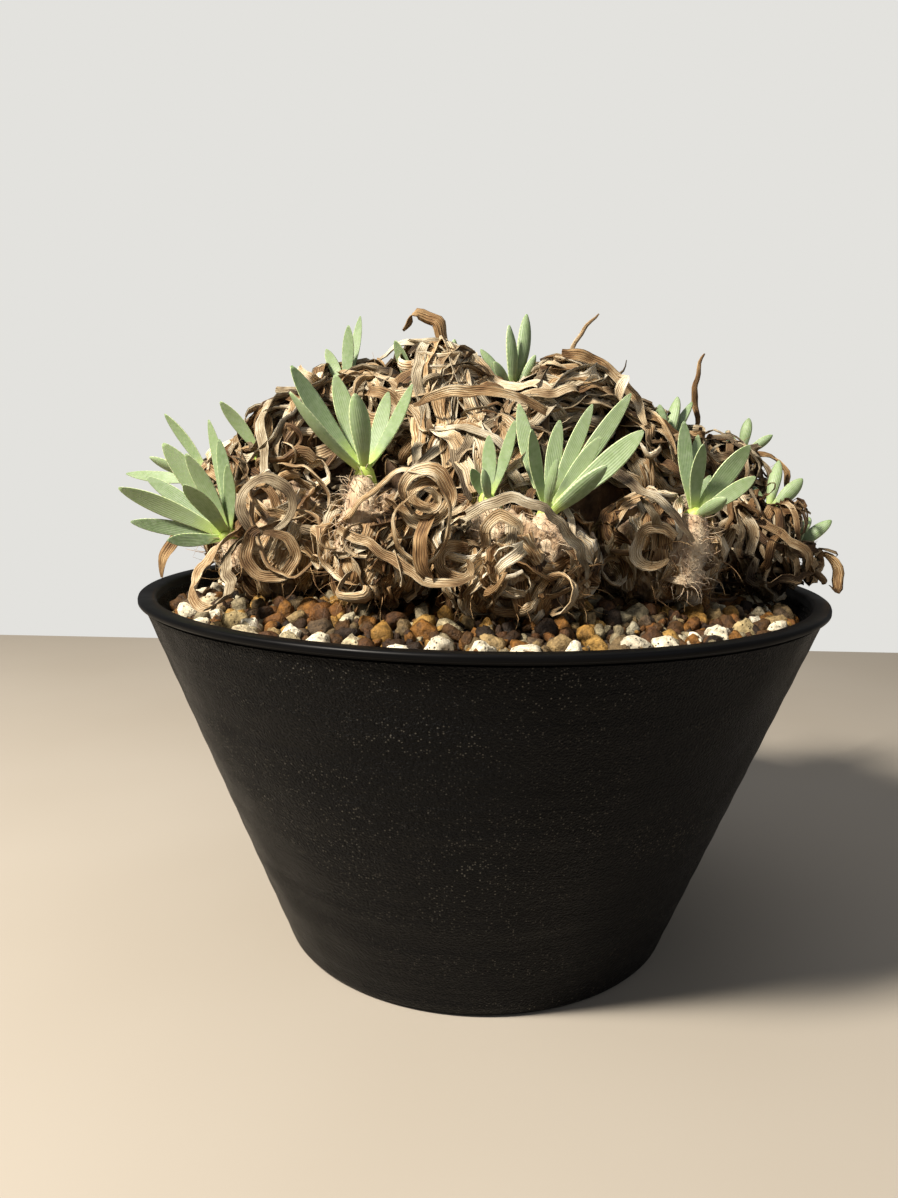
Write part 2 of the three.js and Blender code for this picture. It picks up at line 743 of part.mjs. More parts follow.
const plant = new THREE.Group();
const ground = makeGround();
const caudexRoom = makeCaudex(GAP);
plant.add(toMesh('pot', makePot(), MATERIALS.pot));
plant.add(toMesh('potting_mix', makeSoil(caudexRoom), MATERIALS.soil));
plant.add(toMesh('caudex', largestBody(makeCaudex(0)), MATERIALS.bark));
const rosetteRoom = wasm.Manifold.union(HEADS.flatMap((head) => (
  rosettesOf(head).map((rosette) => rosetteSolid(head, rosette, GAP))
)));
for (const head of HEADS) {
  const dead = makeHead(head, caudexRoom, ground, rosetteRoom);
  plant.add(toMesh(`dead_leaves_${head.name}`, dead, MATERIALS.dry));
  rosettesOf(head).forEach((rosette, k) => {
    const living = largestBody(rosetteSolid(head, rosette, 0));
    const name = k === 0 ? `rosette_${head.name}` : `rosette_${head.name}_${k + 1}`;
    plant.add(toMesh(name, living, MATERIALS.leaf));
  });
}

export default plant;
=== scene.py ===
"""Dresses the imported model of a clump-forming succulent in a round black plastic pot.

The tables are in millimetres, and every mesh is made in metres. Heads, living leaves and loose
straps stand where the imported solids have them.
"""

import logging
from dataclasses import dataclass, field
from enum import Enum
from functools import partial
from math import cos, hypot, pi, radians, sin, sqrt
from random import Random
from typing import Any, Callable, Sequence

import bmesh
import bpy
import numpy as np
from bpy.types import Collection, Material, Mesh, Node, NodeSocket, NodeTree, Object
from mathutils import Matrix, Vector, noise


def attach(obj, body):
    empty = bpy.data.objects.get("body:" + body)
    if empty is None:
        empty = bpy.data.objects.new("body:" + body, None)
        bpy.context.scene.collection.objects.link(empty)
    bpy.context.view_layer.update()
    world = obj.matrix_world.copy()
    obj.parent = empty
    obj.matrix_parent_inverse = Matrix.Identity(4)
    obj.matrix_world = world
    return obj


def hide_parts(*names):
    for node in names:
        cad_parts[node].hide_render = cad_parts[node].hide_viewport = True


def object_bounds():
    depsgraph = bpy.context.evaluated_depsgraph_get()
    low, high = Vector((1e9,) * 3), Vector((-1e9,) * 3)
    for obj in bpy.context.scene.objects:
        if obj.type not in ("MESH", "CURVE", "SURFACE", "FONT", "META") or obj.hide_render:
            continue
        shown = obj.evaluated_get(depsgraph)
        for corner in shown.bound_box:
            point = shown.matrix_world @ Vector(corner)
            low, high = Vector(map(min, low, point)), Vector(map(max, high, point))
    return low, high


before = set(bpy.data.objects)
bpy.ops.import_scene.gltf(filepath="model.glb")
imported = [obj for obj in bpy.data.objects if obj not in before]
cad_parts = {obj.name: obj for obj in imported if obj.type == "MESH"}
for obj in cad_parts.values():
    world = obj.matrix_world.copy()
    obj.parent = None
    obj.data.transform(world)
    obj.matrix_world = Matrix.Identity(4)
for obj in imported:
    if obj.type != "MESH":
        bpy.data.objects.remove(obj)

CAD_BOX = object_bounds()
LOG = logging.getLogger("potted_succulent")

Array = np.ndarray

MM = 0.001
GOLDEN_ANGLE = pi * (3 - sqrt(5))
WORD = 0xFFFFFFFF

Triple = tuple[float, float, float]
# Vertices, the vertex numbers of each face, and numbers for each vertex by attribute name
Skin = tuple[list[Array], list[list[int]], dict[str, list[float]]]


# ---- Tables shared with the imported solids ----


@dataclass(frozen=True)
class RosettePlan:
    """One rosette of living leaves.

    Attributes:
        base: Where the leaves meet.
        leaves: Each leaf's tip from the base, and its width.
        neck: Lower end of the woolly neck that carries it, if it shows, and its radius there and
            at the top.
    """

    base: Triple
    leaves: tuple[tuple[float, float, float, float], ...]
    neck: tuple[float, float, float, float, float] | None = None


class Habit(Enum):
    """How the dead leaves of a head lie."""

    FELTED = "close ribbed scales and small curls on a felted lobe"
    SHAGGY = "long straps that sweep round the head"
    # WIRY heads stand at the right and back, away from the key light: their straps are dark brown
    # with age, and darker still as painted shade.
    WIRY = "thin crinkled straps, dark with age"


@dataclass(frozen=True)
class HeadPlan:
    """One head of the clump.

    Attributes:
        name: The head's name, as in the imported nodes.
        centre: Its middle.
        radius: Its half sizes.
        rosettes: Its rosettes, or how many leaves the spiral rule gives it.
        habit: How its dead leaves lie.
    """

    name: str
    centre: Triple
    radius: Triple
    rosettes: tuple[RosettePlan, ...] | int
    habit: Habit = Habit.SHAGGY


HEADS = tuple(HeadPlan(*row) for row in (
    ("front_left", (-43, -14, 91), (14, 13, 13), (
        RosettePlan((-52, -23, 92), (
            (-21, -4, 10, 4.4), (-19, 6, 12, 3.6), (-13, 0, 19, 5.0), (-7, -4, 17, 4.4),
            (-6, -9, 11, 4.6), (-5, 5, 24, 3.2), (-2, 2, 20, 3.2), (1, -3, 15, 3.0),
            (-10, -8, 0, 3.0), (-20, -1, 3, 3.4)), (-50, -22.5, 86.5, 2.9, 1.7)),),
        Habit.FELTED),
    ("front_centre_left", (-19, -34, 92), (11, 11, 11), (
        RosettePlan((-22, -38, 106), (
            (-13, -2, 19, 4.2), (-12, -8, 14, 3.2), (-6, 4, 18, 4.0), (-1, -5, 14, 4.2),
            (4, 5, 15, 3.2), (9, -1, 16, 3.2)), (-23, -40, 91, 4.7, 1.6)),),
        Habit.FELTED),
    ("front_centre", (6, -37, 90), (15, 12, 12), (
        RosettePlan((1, -42, 101), (
            (0, 2, 12, 3.2), (4.6, 0, 14.6, 2.6), (-3, -2, 6, 2.4), (-1, -4, 6, 2.2)),
            (2, -43, 94, 4.2, 1.6)),
        RosettePlan((12, -42, 99), (
            (-5.5, 8, 20, 3.4), (-3.6, -4, 15, 3.0), (2, 5, 17, 3.2), (1, -5, 10, 2.8),
            (8, 6, 20, 3.0), (15, 6, 22, 3.4), (9, 0, 14, 3.0), (16, -3, 15, 4.6),
            (9, -9, 9, 3.9)), (11, -43, 92, 4.4, 2.0))),
        Habit.FELTED),
    ("middle_front", (1, -25, 103), (16, 13, 13), ()),
    ("front_right", (36, -20, 91), (12, 12, 11), (
        RosettePlan((42, -26, 98), (
            (-2.4, 3, 18.6, 3.4), (0, -4, 14, 3.6), (1, 5, 16, 3.0), (10, 0, 14, 4.4),
            (10, -5, 8, 3.2), (4, -8, 4, 3.0), (3.4, 3, 8, 2.4)), (38.6, -28, 84.5, 5.0, 2.9)),),
        Habit.FELTED),
    ("right", (62, -1, 90), (13, 12, 12), (
        RosettePlan((70, 0, 88), ((8, -2, 8, 3.4), (6, 6, 8, 3.4), (1, -5, 7, 2.8))),
        RosettePlan((66, 5, 97), ((7, -1, 8, 3.6), (3, 4, 12, 3.2), (-3, 3, 6, 2.4)))),
        Habit.WIRY),
    ("middle_left", (-41, -2, 108), (14, 13, 13), (
        RosettePlan((-48, -9, 108), ((-8.5, -2, 12, 3.4),)),)),
    ("crown_left", (-11, -8, 118), (15, 13, 14), (
        RosettePlan((-15, -9, 120), ((-4, -2, 13, 3.6),)),)),
    ("crown_right", (15, -6, 117), (14, 13, 13), (
        RosettePlan((6, -4, 122), (
            (3, 3, 18, 3.6), (-1, -2, 15, 3.6), (-7, -1, 10, 2.6), (-4, -6, 7, 2.4),
            (5, 0, 9, 2.6))),)),
    ("middle_right", (36, 1, 109), (13, 13, 12), (
        RosettePlan((42, 2, 110), ((-3, -2, 11, 3.6), (2, 3, 13, 3.6), (6, 6, 12, 3.4))),)),
    ("right_shoulder", (56, 15, 103), (12, 12, 12), (
        RosettePlan((63, 18, 110), ((1, 0, 9, 3.0), (-4, 1, 6, 2.6), (6, -3, 5, 2.4))),),
        Habit.WIRY),
    ("left_shoulder", (-31, 14, 118), (13, 12, 13), (
        RosettePlan((-33, 11, 124), ((1, 0, 15, 3.6), (-5, 4, 10, 3.0), (3, 6, 18, 2.6))),)),
    ("left", (-56, 9, 99), (13, 13, 13), (
        RosettePlan((-64, 5, 103), ((-11, 2, 15, 3.2), (-20, 0, 1, 3.4), (-12, -6, 5, 3.0))),)),
    ("back_left_high", (-38, 35, 103), (13, 13, 12), 5),
    ("crown_back", (-8, 21, 109), (14, 13, 12), 4),
    ("back_right_high", (20, 27, 104), (13, 13, 12), 5, Habit.WIRY),
    ("back_right_low", (46, 37, 95), (12, 12, 11), 6, Habit.WIRY),
    ("back_centre_left", (-19, 52, 92), (12, 12, 12), 6),
    ("back_centre_right", (10, 54, 92), (12, 12, 12), 5),
    ("back_left_low", (-46, 41, 89), (12, 12, 10), 6),
))

# The point that the clump's heads grow away from
DOME_CENTRE = np.array((0.0, 5.0, 66.0))

# Radius and height of each ring of the swollen rootstock, from its tip up
ROOTSTOCK = ((3, 40), (14, 50), (21, 64), (24, 76), (21, 88), (12, 98))


class Weathering(Enum):
    """How sun and age have coloured a dead leaf, with painted shade in DARKENED as well: shares of
    grey and of russet, and how much paler than the others it is."""

    STRAW = (0.0, 0.0, 0.1)
    TAN = (0.15, 0.3, 0.06)
    GREYED = (0.85, 0.0, 0.04)
    RUSSET = (0.0, 0.85, 0.0)
    # DARKENED: old dark brown leaves, and in part painted shade; the heads at the right and back,
    # away from the key light, draw it most.
    DARKENED = (0.5, 0.3, -0.12)


class Lay(Enum):
    """What the direction given for a loose strap stands for."""

    EDGE = "the way its width points"
    FLAT = "the way its flat faces"


@dataclass(frozen=True)
class LooseStrap:
    """A dead leaf that stands out by itself.

    Attributes:
        head: The head that it grows from.
        lay: What `towards` stands for.
        weathering: Its colouring.
        width: Its full width.
        towards: A direction.
        route: Points along its middle.
    """

    head: str
    lay: Lay
    weathering: Weathering
    width: float
    towards: Triple
    route: tuple[Triple, ...]


STRAW, TAN, GREYED, RUSSET, _ = Weathering
EDGE, FLAT = Lay


def coil(
    centre: Triple, radii: tuple[float, float], start: float, sweep: float
) -> tuple[Triple, ...]:
    """The route of a leaf that has dried in a ring facing the front.

    Args:
        centre: The ring's middle.
        radii: Its radius at the start and at the end.
        start: The angle in degrees at which it starts, anticlockwise from the right.
        sweep: The angle that it runs through.

    Returns:
        Points along its middle, which come forward by half a width in each turn.
    """
    points = []
    for share in np.linspace(0, 1, max(5, int(abs(sweep) / 30))):
        angle = radians(start + sweep * share)
        radius = radii[0] + (radii[1] - radii[0]) * share
        points.append((centre[0] + radius * cos(angle), centre[1] - abs(sweep) / 300 * share,
                       centre[2] + radius * sin(angle)))
    return tuple(points)


LOOSE_STRAPS = tuple(LooseStrap(*row) for row in (
    ("crown_left", EDGE, RUSSET, 3.6, (1, 1, 0.8), ((-9, -4, 124), (-8, -2, 130), (-9, -2, 135),
     (-11, -2, 139), (-15.5, -3, 139.6), (-18, -4, 136))),
    ("crown_left", EDGE, STRAW, 3.3, (0, -0.25, 1), ((4, -10, 124), (-1, -14, 126), (-9, -16, 127),
     (-16.5, -14, 127), (-18, -10, 129), (-16, -7, 130.5), (-10, -6, 131), (-1, -6, 130))),
    ("middle_front", FLAT, STRAW, 2.4, (0, -1, 0.5), ((12, -22, 118), (4, -26, 121),
     (-6, -27, 121.5), (-14, -25, 119))),
    ("front_centre_left", EDGE, STRAW, 2.5, (0.35, -1, 0.25), ((-27, -39, 96), (-23, -44, 100),
     (-14, -48, 107), (-7, -49, 104), (-5.5, -50, 96), (-10, -50, 90), (-15, -50, 94),
     (-15, -50, 100), (-11, -52, 103))),
    ("front_centre_left", FLAT, TAN, 1.9, (0, -1, 0.3), ((-26, -43, 96), (-19, -47, 93),
     (-12, -50, 89), (-6, -51.5, 87), (-1, -51, 88.5))),
    ("front_centre_left", FLAT, STRAW, 2.6, (0.2, -1, 0.5),
     coil((-10, -48.5, 102.5), (5.0, 3.8), 205, 395)),
    ("front_centre_left", FLAT, STRAW, 2.0, (-0.3, -1, 0.3),
     coil((-9.5, -49, 102), (2.8, 1.5), 40, 420)),
    ("front_left", FLAT, GREYED, 2.4, (-0.3, -1, 0.4),
     coil((-41, -32, 99), (5.8, 4.4), 250, -330)),
    ("front_left", FLAT, TAN, 2.4, (0.5, -1, 0.2), coil((-40, -35.5, 90.5), (5.4, 4.0), 120, 350)),
    ("front_centre", FLAT, STRAW, 2.2, (0.2, -1, 0.3),
     coil((4, -49.5, 95.8), (3.8, 2.8), 215, -215)),
    ("front_centre", FLAT, STRAW, 2.2, (-0.2, -1, -0.2),
     coil((-4, -48.5, 90.5), (3.6, 2.4), 60, 330)),
    ("front_right", FLAT, TAN, 2.4, (0.1, -1, 0.2), coil((33, -33, 92), (4.4, 3.2), 30, 300)),
    ("front_left", EDGE, TAN, 2.5, (0.3, -1, 0.1), ((-47, -22, 103), (-45, -30, 99), (-42, -34, 90),
     (-36, -36, 86), (-31, -35, 91), (-32, -33, 97), (-38, -31, 98))),
    ("middle_left", EDGE, TAN, 2.2, (0.2, -1, 0.3), ((-44, -14, 107), (-38, -19, 107),
     (-32, -22, 103), (-31, -24, 97), (-37, -25, 94))),
    ("front_left", FLAT, TAN, 2.7, (-0.7, -0.7, 0.5), ((-47, -25, 96), (-51, -32, 91),
     (-53, -40, 86), (-52, -46, 83.5), (-49, -50, 82), (-45, -52, 83))),
    ("front_left", EDGE, GREYED, 2.5, (1, -0.6, 0.2), ((-46, -26, 94), (-49, -34, 89),
     (-46, -43, 84.5), (-46, -49, 83), (-48, -53, 82))),
    ("left", FLAT, RUSSET, 3.0, (-0.5, -1, 0), ((-62, -2, 97), (-67, -8, 91), (-70, -10, 86),
     (-71, -10, 81.5))),
    ("right", EDGE, RUSSET, 2.7, (-0.4, 1, 0.2), ((67, 2, 88), (73, 2, 88), (77, -2, 88),
     (79, -4, 85), (79, -6, 81.5), (76, -9, 82))),
    ("middle_right", EDGE, RUSSET, 1.6, (1, 0.4, 0), ((48, 8, 108), (50, 10, 115), (49, 9, 123),
     (49, 9, 128), (50.5, 9, 133))),
    ("crown_right", EDGE, GREYED, 1.4, (0.4, 1, 0), ((24, 2, 122), (28, 4, 125), (31, 4, 128),
     (32, 4, 131))),
    ("crown_right", EDGE, STRAW, 1.1, (1, 0.3, -0.4), ((14, -3, 121), (17, -2, 128), (20, -1, 134),
     (24.5, 0, 140.5))),
    ("crown_right", EDGE, STRAW, 1.3, (1, 0.1, 0), ((14, -9, 129), (16, -12, 127), (17, -15, 121),
     (17.2, -17, 114))),
    ("crown_right", FLAT, STRAW, 2.7, (0.2, -1, 0.6), ((16, -12, 130.5), (24, -10, 128.5),
     (31, -10, 122.5), (34, -12, 116))),
    ("right_shoulder", EDGE, GREYED, 2.5, (-0.3, 1, 0.3), ((58, 12, 110), (63, 11, 110.5),
     (66, 9, 107), (66, 8, 102), (64, 6, 98))),
    ("right_shoulder", EDGE, RUSSET, 2.3, (-0.3, 1, 0.3), ((62, 15, 109), (68, 14, 110),
     (71, 12, 107), (71.5, 10, 101.5))),
    ("front_centre", FLAT, GREYED, 2.1, (0.1, -1, 0.5), ((-4, -44, 96), (-2, -52, 99),
     (4, -54.5, 102), (11, -54, 100), (17, -50, 93), (19, -46, 88))),
    ("front_centre", FLAT, RUSSET, 2.9, (-0.3, -1, 0.1), ((-8, -46, 101), (-9.5, -50, 97),
     (-10.5, -51.5, 92), (-8.5, -51, 87))),
    ("middle_front", FLAT, GREYED, 3.0, (-0.5, -0.8, 0.8), ((4, -22, 117), (-3, -28, 114),
     (-8, -33, 110.5), (-13, -38, 105.5), (-16, -40, 101))),
    ("front_right", FLAT, GREYED, 2.5, (0.1, -0.8, 0.9), ((17, -24, 110), (23, -28, 107),
     (30, -34, 103), (35, -38, 99), (39, -39, 94))),
))


# ---- Small tools ----


def plan_random(seed: int) -> Callable[[], float]:
    """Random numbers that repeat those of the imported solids.

    Args:
        seed: A whole number.

    Returns:
        A function that gives the next number from 0 to 1.
    """
    state = seed

    def draw() -> float:
        """The next number.

        Returns:
            A number from 0 to 1.
        """
        nonlocal state
        state = (state + 0x6D2B79F5) & WORD
        mixed = ((state ^ (state >> 15)) * (1 | state)) & WORD
        mixed = ((mixed + (((mixed ^ (mixed >> 7)) * (61 | mixed)) & WORD)) & WORD) ^ mixed
        return (mixed ^ (mixed >> 14)) / (WORD + 1)

    return draw


def unit(vector: Array) -> Array:
    """The vector, or each row of an array of them, at length one."""
    return vector / np.maximum(np.linalg.norm(vector, axis=-1, keepdims=True), 1e-9)


def turned(vector: Array, axis: Array, angle: float | Array) -> Array:
    """Vectors turned round unit axes.

    Args:
        vector: One vector, or rows of them.
        axis: The axis, or one for each row.
        angle: The angle in radians, or one for each row.

    Returns:
        The turned vectors.
    """
    angle = np.asarray(angle)[..., None]
    along = np.sum(vector * axis, axis=-1, keepdims=True) * axis
    cross = np.cross(axis, vector)
    return vector * np.cos(angle) + cross * np.sin(angle) + along * (1 - np.cos(angle))


def smooth_path(route: Array, step: float) -> Array:
    """Points at equal steps along a smooth curve through a route.

    Args:
        route: The points that the curve passes through.
        step: The distance between the points returned.

    Returns:
        The points, one in each row.
    """
    ends = np.vstack([2 * route[0] - route[1], route, 2 * route[-1] - route[-2]])
    share = np.linspace(0, 1, 12, endpoint=False)[:, None]
    pieces = [
        0.5 * (2 * b + (c - a) * share + (2 * a - 5 * b + 4 * c - d) * share**2
               + (3 * b - a - 3 * c + d) * share**3)
        for a, b, c, d in zip(ends, ends[1:], ends[2:], ends[3:])
    ]
    fine = np.vstack([*pieces, route[-1:]])
    run = np.r_[0, np.cumsum(np.linalg.norm(np.diff(fine, axis=0), axis=1))]
    places = np.linspace(0, run[-1], max(4, round(run[-1] / step)) + 1)
    return np.column_stack([np.interp(places, run, fine[:, k]) for k in range(3)])


def headings(points: Array) -> Array:
    """The unit direction of a path at each of its points."""
    return unit(np.gradient(points, axis=0))


def linear(hex_colour: str) -> tuple[float, float, float, float]:
    """An sRGB hex colour as the linear colour that a node takes.

    Args:
        hex_colour: Six hexadecimal digits.

    Returns:
        Red, green, blue and an alpha of one.
    """
    values = [int(hex_colour[k:k + 2], 16) / 255 for k in (0, 2, 4)]
    red, green, blue = (v / 12.92 if v <= 0.04045 else ((v + 0.055) / 1.055) ** 2.4 for v in values)
    return red, green, blue, 1.0


# The kinds of node and the settings that come up again and again
MATH, MAP_RANGE, RANDOM = "ShaderNodeMath", "ShaderNodeMapRange", "FunctionNodeRandomValue"
NOISE, RAMP, MIX, BUMP = (
    "ShaderNodeTexNoise", "ShaderNodeValToRGB", "ShaderNodeMix", "ShaderNodeBump")
TEXTURE_PLACE, COMBINE, SEPARATE = (
    "ShaderNodeTexCoord", "ShaderNodeCombineXYZ", "ShaderNodeSeparateXYZ")
TIMES, TIMES_PLUS = {"operation": "MULTIPLY"}, {"operation": "MULTIPLY_ADD"}
SIZE_OF, COLOURS = {"operation": "ABSOLUTE"}, {"data_type": "RGBA"}


def add_node(
    tree: NodeTree,
    kind: str,
    settings: dict[str, Any] | None = None,
    inputs: dict[str | int, Any] | list[Any] | None = None,
) -> Node:
    """Adds a node with its settings and links.

    Args:
        tree: The tree that gets the node.
        kind: Blender's name of the node's type.
        settings: The node's own properties. "stops" gives a colour ramp's places and colours.
        inputs: For each socket name or number, or in the sockets' order, a value, an output
            socket, or a node whose first output is linked.

    Returns:
        The node.
    """
    node = tree.nodes.new(kind)
    for name, value in (settings or {}).items():
        if name == "stops":
            elements = node.color_ramp.elements
            while len(elements) < len(value):
                elements.new(1.0)
            for element, (place, colour) in zip(elements, value):
                element.position = place
                element.color = linear(colour)
        elif name == "interpolation":
            node.color_ramp.interpolation = value
        else:
            setattr(node, name, value)
    for key, value in (inputs or {}).items() if not isinstance(inputs, list) else enumerate(inputs):
        if isinstance(value, Node):
            value = value.outputs[0]
        if isinstance(value, NodeSocket):
            tree.links.new(value, node.inputs[key])
        else:
            node.inputs[key].default_value = value
    return node


def new_object(name: str, mesh: Mesh) -> Object:
    """Puts a mesh in the scene as an object at the origin.

    Args:
        name: Its name.
        mesh: The mesh.

    Returns:
        The object.
    """
    thing = bpy.data.objects.new(name, mesh)
    bpy.context.scene.collection.objects.link(thing)
    return thing


def plain_mesh(thing: Object) -> Mesh:
    """Applies an object's modifiers.

    Args:
        thing: The object, which loses its modifiers.

    Returns:
        The object's new mesh.
    """
    evaluated = thing.evaluated_get(bpy.context.evaluated_depsgraph_get())
    mesh = bpy.data.meshes.new_from_object(evaluated)
    thing.modifiers.clear()
    thing.data = mesh
    mesh.name = thing.name
    return mesh


def add_attribute(mesh: Mesh, name: str, values: Array) -> None:
    """Stores numbers or vectors on a mesh's vertices.

    Args:
        mesh: The mesh.
        name: The attribute's name.
        values: One row for each vertex.
    """
    is_vector = values.ndim == 2
    kind, slot = ("FLOAT_VECTOR", "vector") if is_vector else ("FLOAT", "value")
    mesh.attributes.new(name, kind, "POINT").data.foreach_set(slot, values.ravel())


def skin_mesh(
    name: str,
    vertices: Array,
    faces: Sequence[Sequence[int]],
    values: dict[str, Array] | None = None,
) -> Mesh:
    """Makes a smooth-shaded mesh.

    Args:
        name: The mesh's name.
        vertices: Points in millimetres.
        faces: Vertex numbers of each face.
        values: Numbers for each vertex, by attribute name.

    Returns:
        The mesh, in metres.
    """
    mesh = bpy.data.meshes.new(name)
    mesh.from_pydata((np.asarray(vertices) * MM).tolist(), [], faces)
    for key, numbers in (values or {}).items():
        add_attribute(mesh, key, numbers)
    mesh.shade_smooth()
    return mesh


def lathe(outline: Sequence[tuple[float, float]], sides: int) -> tuple[Array, list[list[int]]]:
    """A solid of revolution about Z.

    Args:
        outline: Radius and height, from the axis at the bottom outside round to the axis again.
        sides: How many flats go round.

    Returns:
        Vertices and faces.
    """
    angle = 2 * pi * np.arange(sides) / sides
    rings = outline[1:-1]
    vertices = [(0.0, 0.0, outline[0][1])]
    for radius, height in rings:
        vertices += [(radius * cos(a), radius * sin(a), height) for a in angle]
    vertices.append((0.0, 0.0, outline[-1][1]))
    top = len(vertices) - 1
    faces = []
    for k in range(sides):
        following = (k + 1) % sides
        faces.append([0, 1 + following, 1 + k])
        for ring in range(len(rings) - 1):
            low, high = 1 + ring * sides, 1 + (ring + 1) * sides
            faces.append([low + k, low + following, high + following, high + k])
        last = 1 + (len(rings) - 1) * sides
        faces.append([last + k, last + following, top])
    return np.array(vertices), faces


def tube_faces(rings: int, corners: int) -> list[list[int]]:
    """Faces round a tube and over its two ends.

    Args:
        rings: How many rings of vertices it has, each anticlockwise seen from the last one.
        corners: How many vertices a ring has.

    Returns:
        The vertex numbers of each face, facing out.
    """
    last = (rings - 1) * corners
    faces = [[low + k, low + (k + 1) % corners, low + corners + (k + 1) % corners,
              low + corners + k] for low in range(0, last, corners) for k in range(corners)]
    return [*faces, list(range(corners))[::-1], list(range(last, last + corners))]


def mesh_of(shape: bmesh.types.BMesh, name: str) -> Mesh:
    """Turns a bmesh into a mesh, and frees it.

    Args:
        shape: The bmesh.
        name: The mesh's name.

    Returns:
        The mesh.
    """
    mesh = bpy.data.meshes.new(name)
    shape.to_mesh(mesh)
    shape.free()
    return mesh


# ---- Finishes ----


@dataclass(frozen=True)
class Finish:
    """A material.

    Attributes:
        name: What the real material is and how its surface came about.
        roughness: The mean roughness.
        ior: The refractive index.
    """

    name: str
    roughness: float
    ior: float = 1.45

    def material(self) -> Material:
        """The finish as a Blender material, made the first time that it is asked for.

        Returns:
            The material.
        """
        found = bpy.data.materials.get(self.name)
        if found:
            return found
        made = bpy.data.materials.new(self.name)
        made.use_nodes = True
        tree = made.node_tree
        tree.nodes.clear()
        shader = add_node(tree, "ShaderNodeBsdfPrincipled", inputs={
            "Roughness": self.roughness, "IOR": self.ior, **self.painted(tree)})
        add_node(tree, "ShaderNodeOutputMaterial", inputs={"Surface": shader})
        return made

    def painted(self, tree: NodeTree) -> dict[str, Any]:
        """Adds the nodes for colour, roughness and relief.

        Args:
            tree: The material's node tree.

        Returns:
            What the inputs of the Principled shader get.
        """
        raise NotImplementedError


@dataclass(frozen=True)
class DriedBlade(Finish):
    """Withered leaf blade: papery, with pale parallel ribs and brown grooves between them.

    Attributes:
        ribs: How many ribs lie across one blade.
        grain: Length in millimetres over which the stain of a blade changes.
        depth: Depth of the grooves in millimetres.
        straw: Colours of a blade bleached by the sun, from dark to light.
        grey: Colours of an old one.
        russet: Colours of one from low down.
    """

    ribs: int = 6
    grain: float = 6.0
    depth: float = 0.25
    straw: tuple[tuple[float, str], ...] = (
        (0.0, "2a1c10"), (0.28, "6f5032"), (0.5, "a1835c"), (0.72, "d0bc99"), (1.0, "f0e7d3"))
    grey: tuple[tuple[float, str], ...] = (
        (0.0, "1e1812"), (0.28, "4f4232"), (0.5, "80735c"), (0.72, "b3a78e"), (1.0, "e0d8c6"))
    russet: tuple[tuple[float, str], ...] = (
        (0.0, "170e07"), (0.28, "452f1b"), (0.5, "785733"), (0.74, "ae8d60"), (1.0, "dfc9a0"))

    def painted(self, tree: NodeTree) -> dict[str, Any]:
        """Ribs and stains follow each blade through its own attributes.

        Args:
            tree: The material's tree.

        Returns:
            The shader's inputs.
        """
        node = partial(add_node, tree)
        across, run, tone, grey, russet = (
            node("ShaderNodeAttribute", {"attribute_name": name}).outputs["Fac"]
            for name in ("across", "run", "tone", "grey", "russet"))
        phase = node(MATH, TIMES, [across, self.ribs * pi])
        wave = node(MATH, {"operation": "COSINE"}, [phase])
        rib = node(MAP_RANGE, {"interpolation_type": "SMOOTHSTEP"}, [wave, -0.5, 0.95])
        grains = []
        for wide, long, apart, scale, detail in ((5.0, 0.2, 91.0, 2.4, 5.0),
                                                 (0.35, 1 / self.grain, 57.0, 1.0, 2.0)):
            parts = [node(MATH, TIMES, [value, factor])
                     for value, factor in ((across, wide), (run, long), (tone, apart))]
            at = node(COMBINE, None, parts)
            grains.append(node(NOISE, None,
                               {"Vector": at, "Scale": scale, "Detail": detail}))
        fibre, stain = grains
        outer = node(MATH, SIZE_OF, [across])
        edge = node(MATH, {"operation": "POWER"}, [outer, 6.0])
        shade = node(MAP_RANGE, None, [run, 0.0, 6.0, -0.92, -0.74])
        for part, weight in ((tone, 0.44), (stain, 1.1), (fibre, 0.85), (rib, 0.15), (edge, 0.14)):
            shade = node(MATH, TIMES_PLUS, [part, weight, shade])
        bleached, old, low = (node(RAMP, {"stops": stops}, [shade])
                              for stops in (self.straw, self.grey, self.russet))
        colour = node(MIX, COLOURS, {0: grey, 6: bleached, 7: old})
        colour = node(MIX, COLOURS,
                      {0: russet, 6: colour.outputs[2], 7: low})
        height = node(MATH, TIMES_PLUS, [fibre, 0.5, rib])
        bump = node(BUMP, None, {"Distance": self.depth * MM, "Height": height})
        return {"Base Color": colour.outputs[2], "Normal": bump, "Specular IOR Level": 0.3}


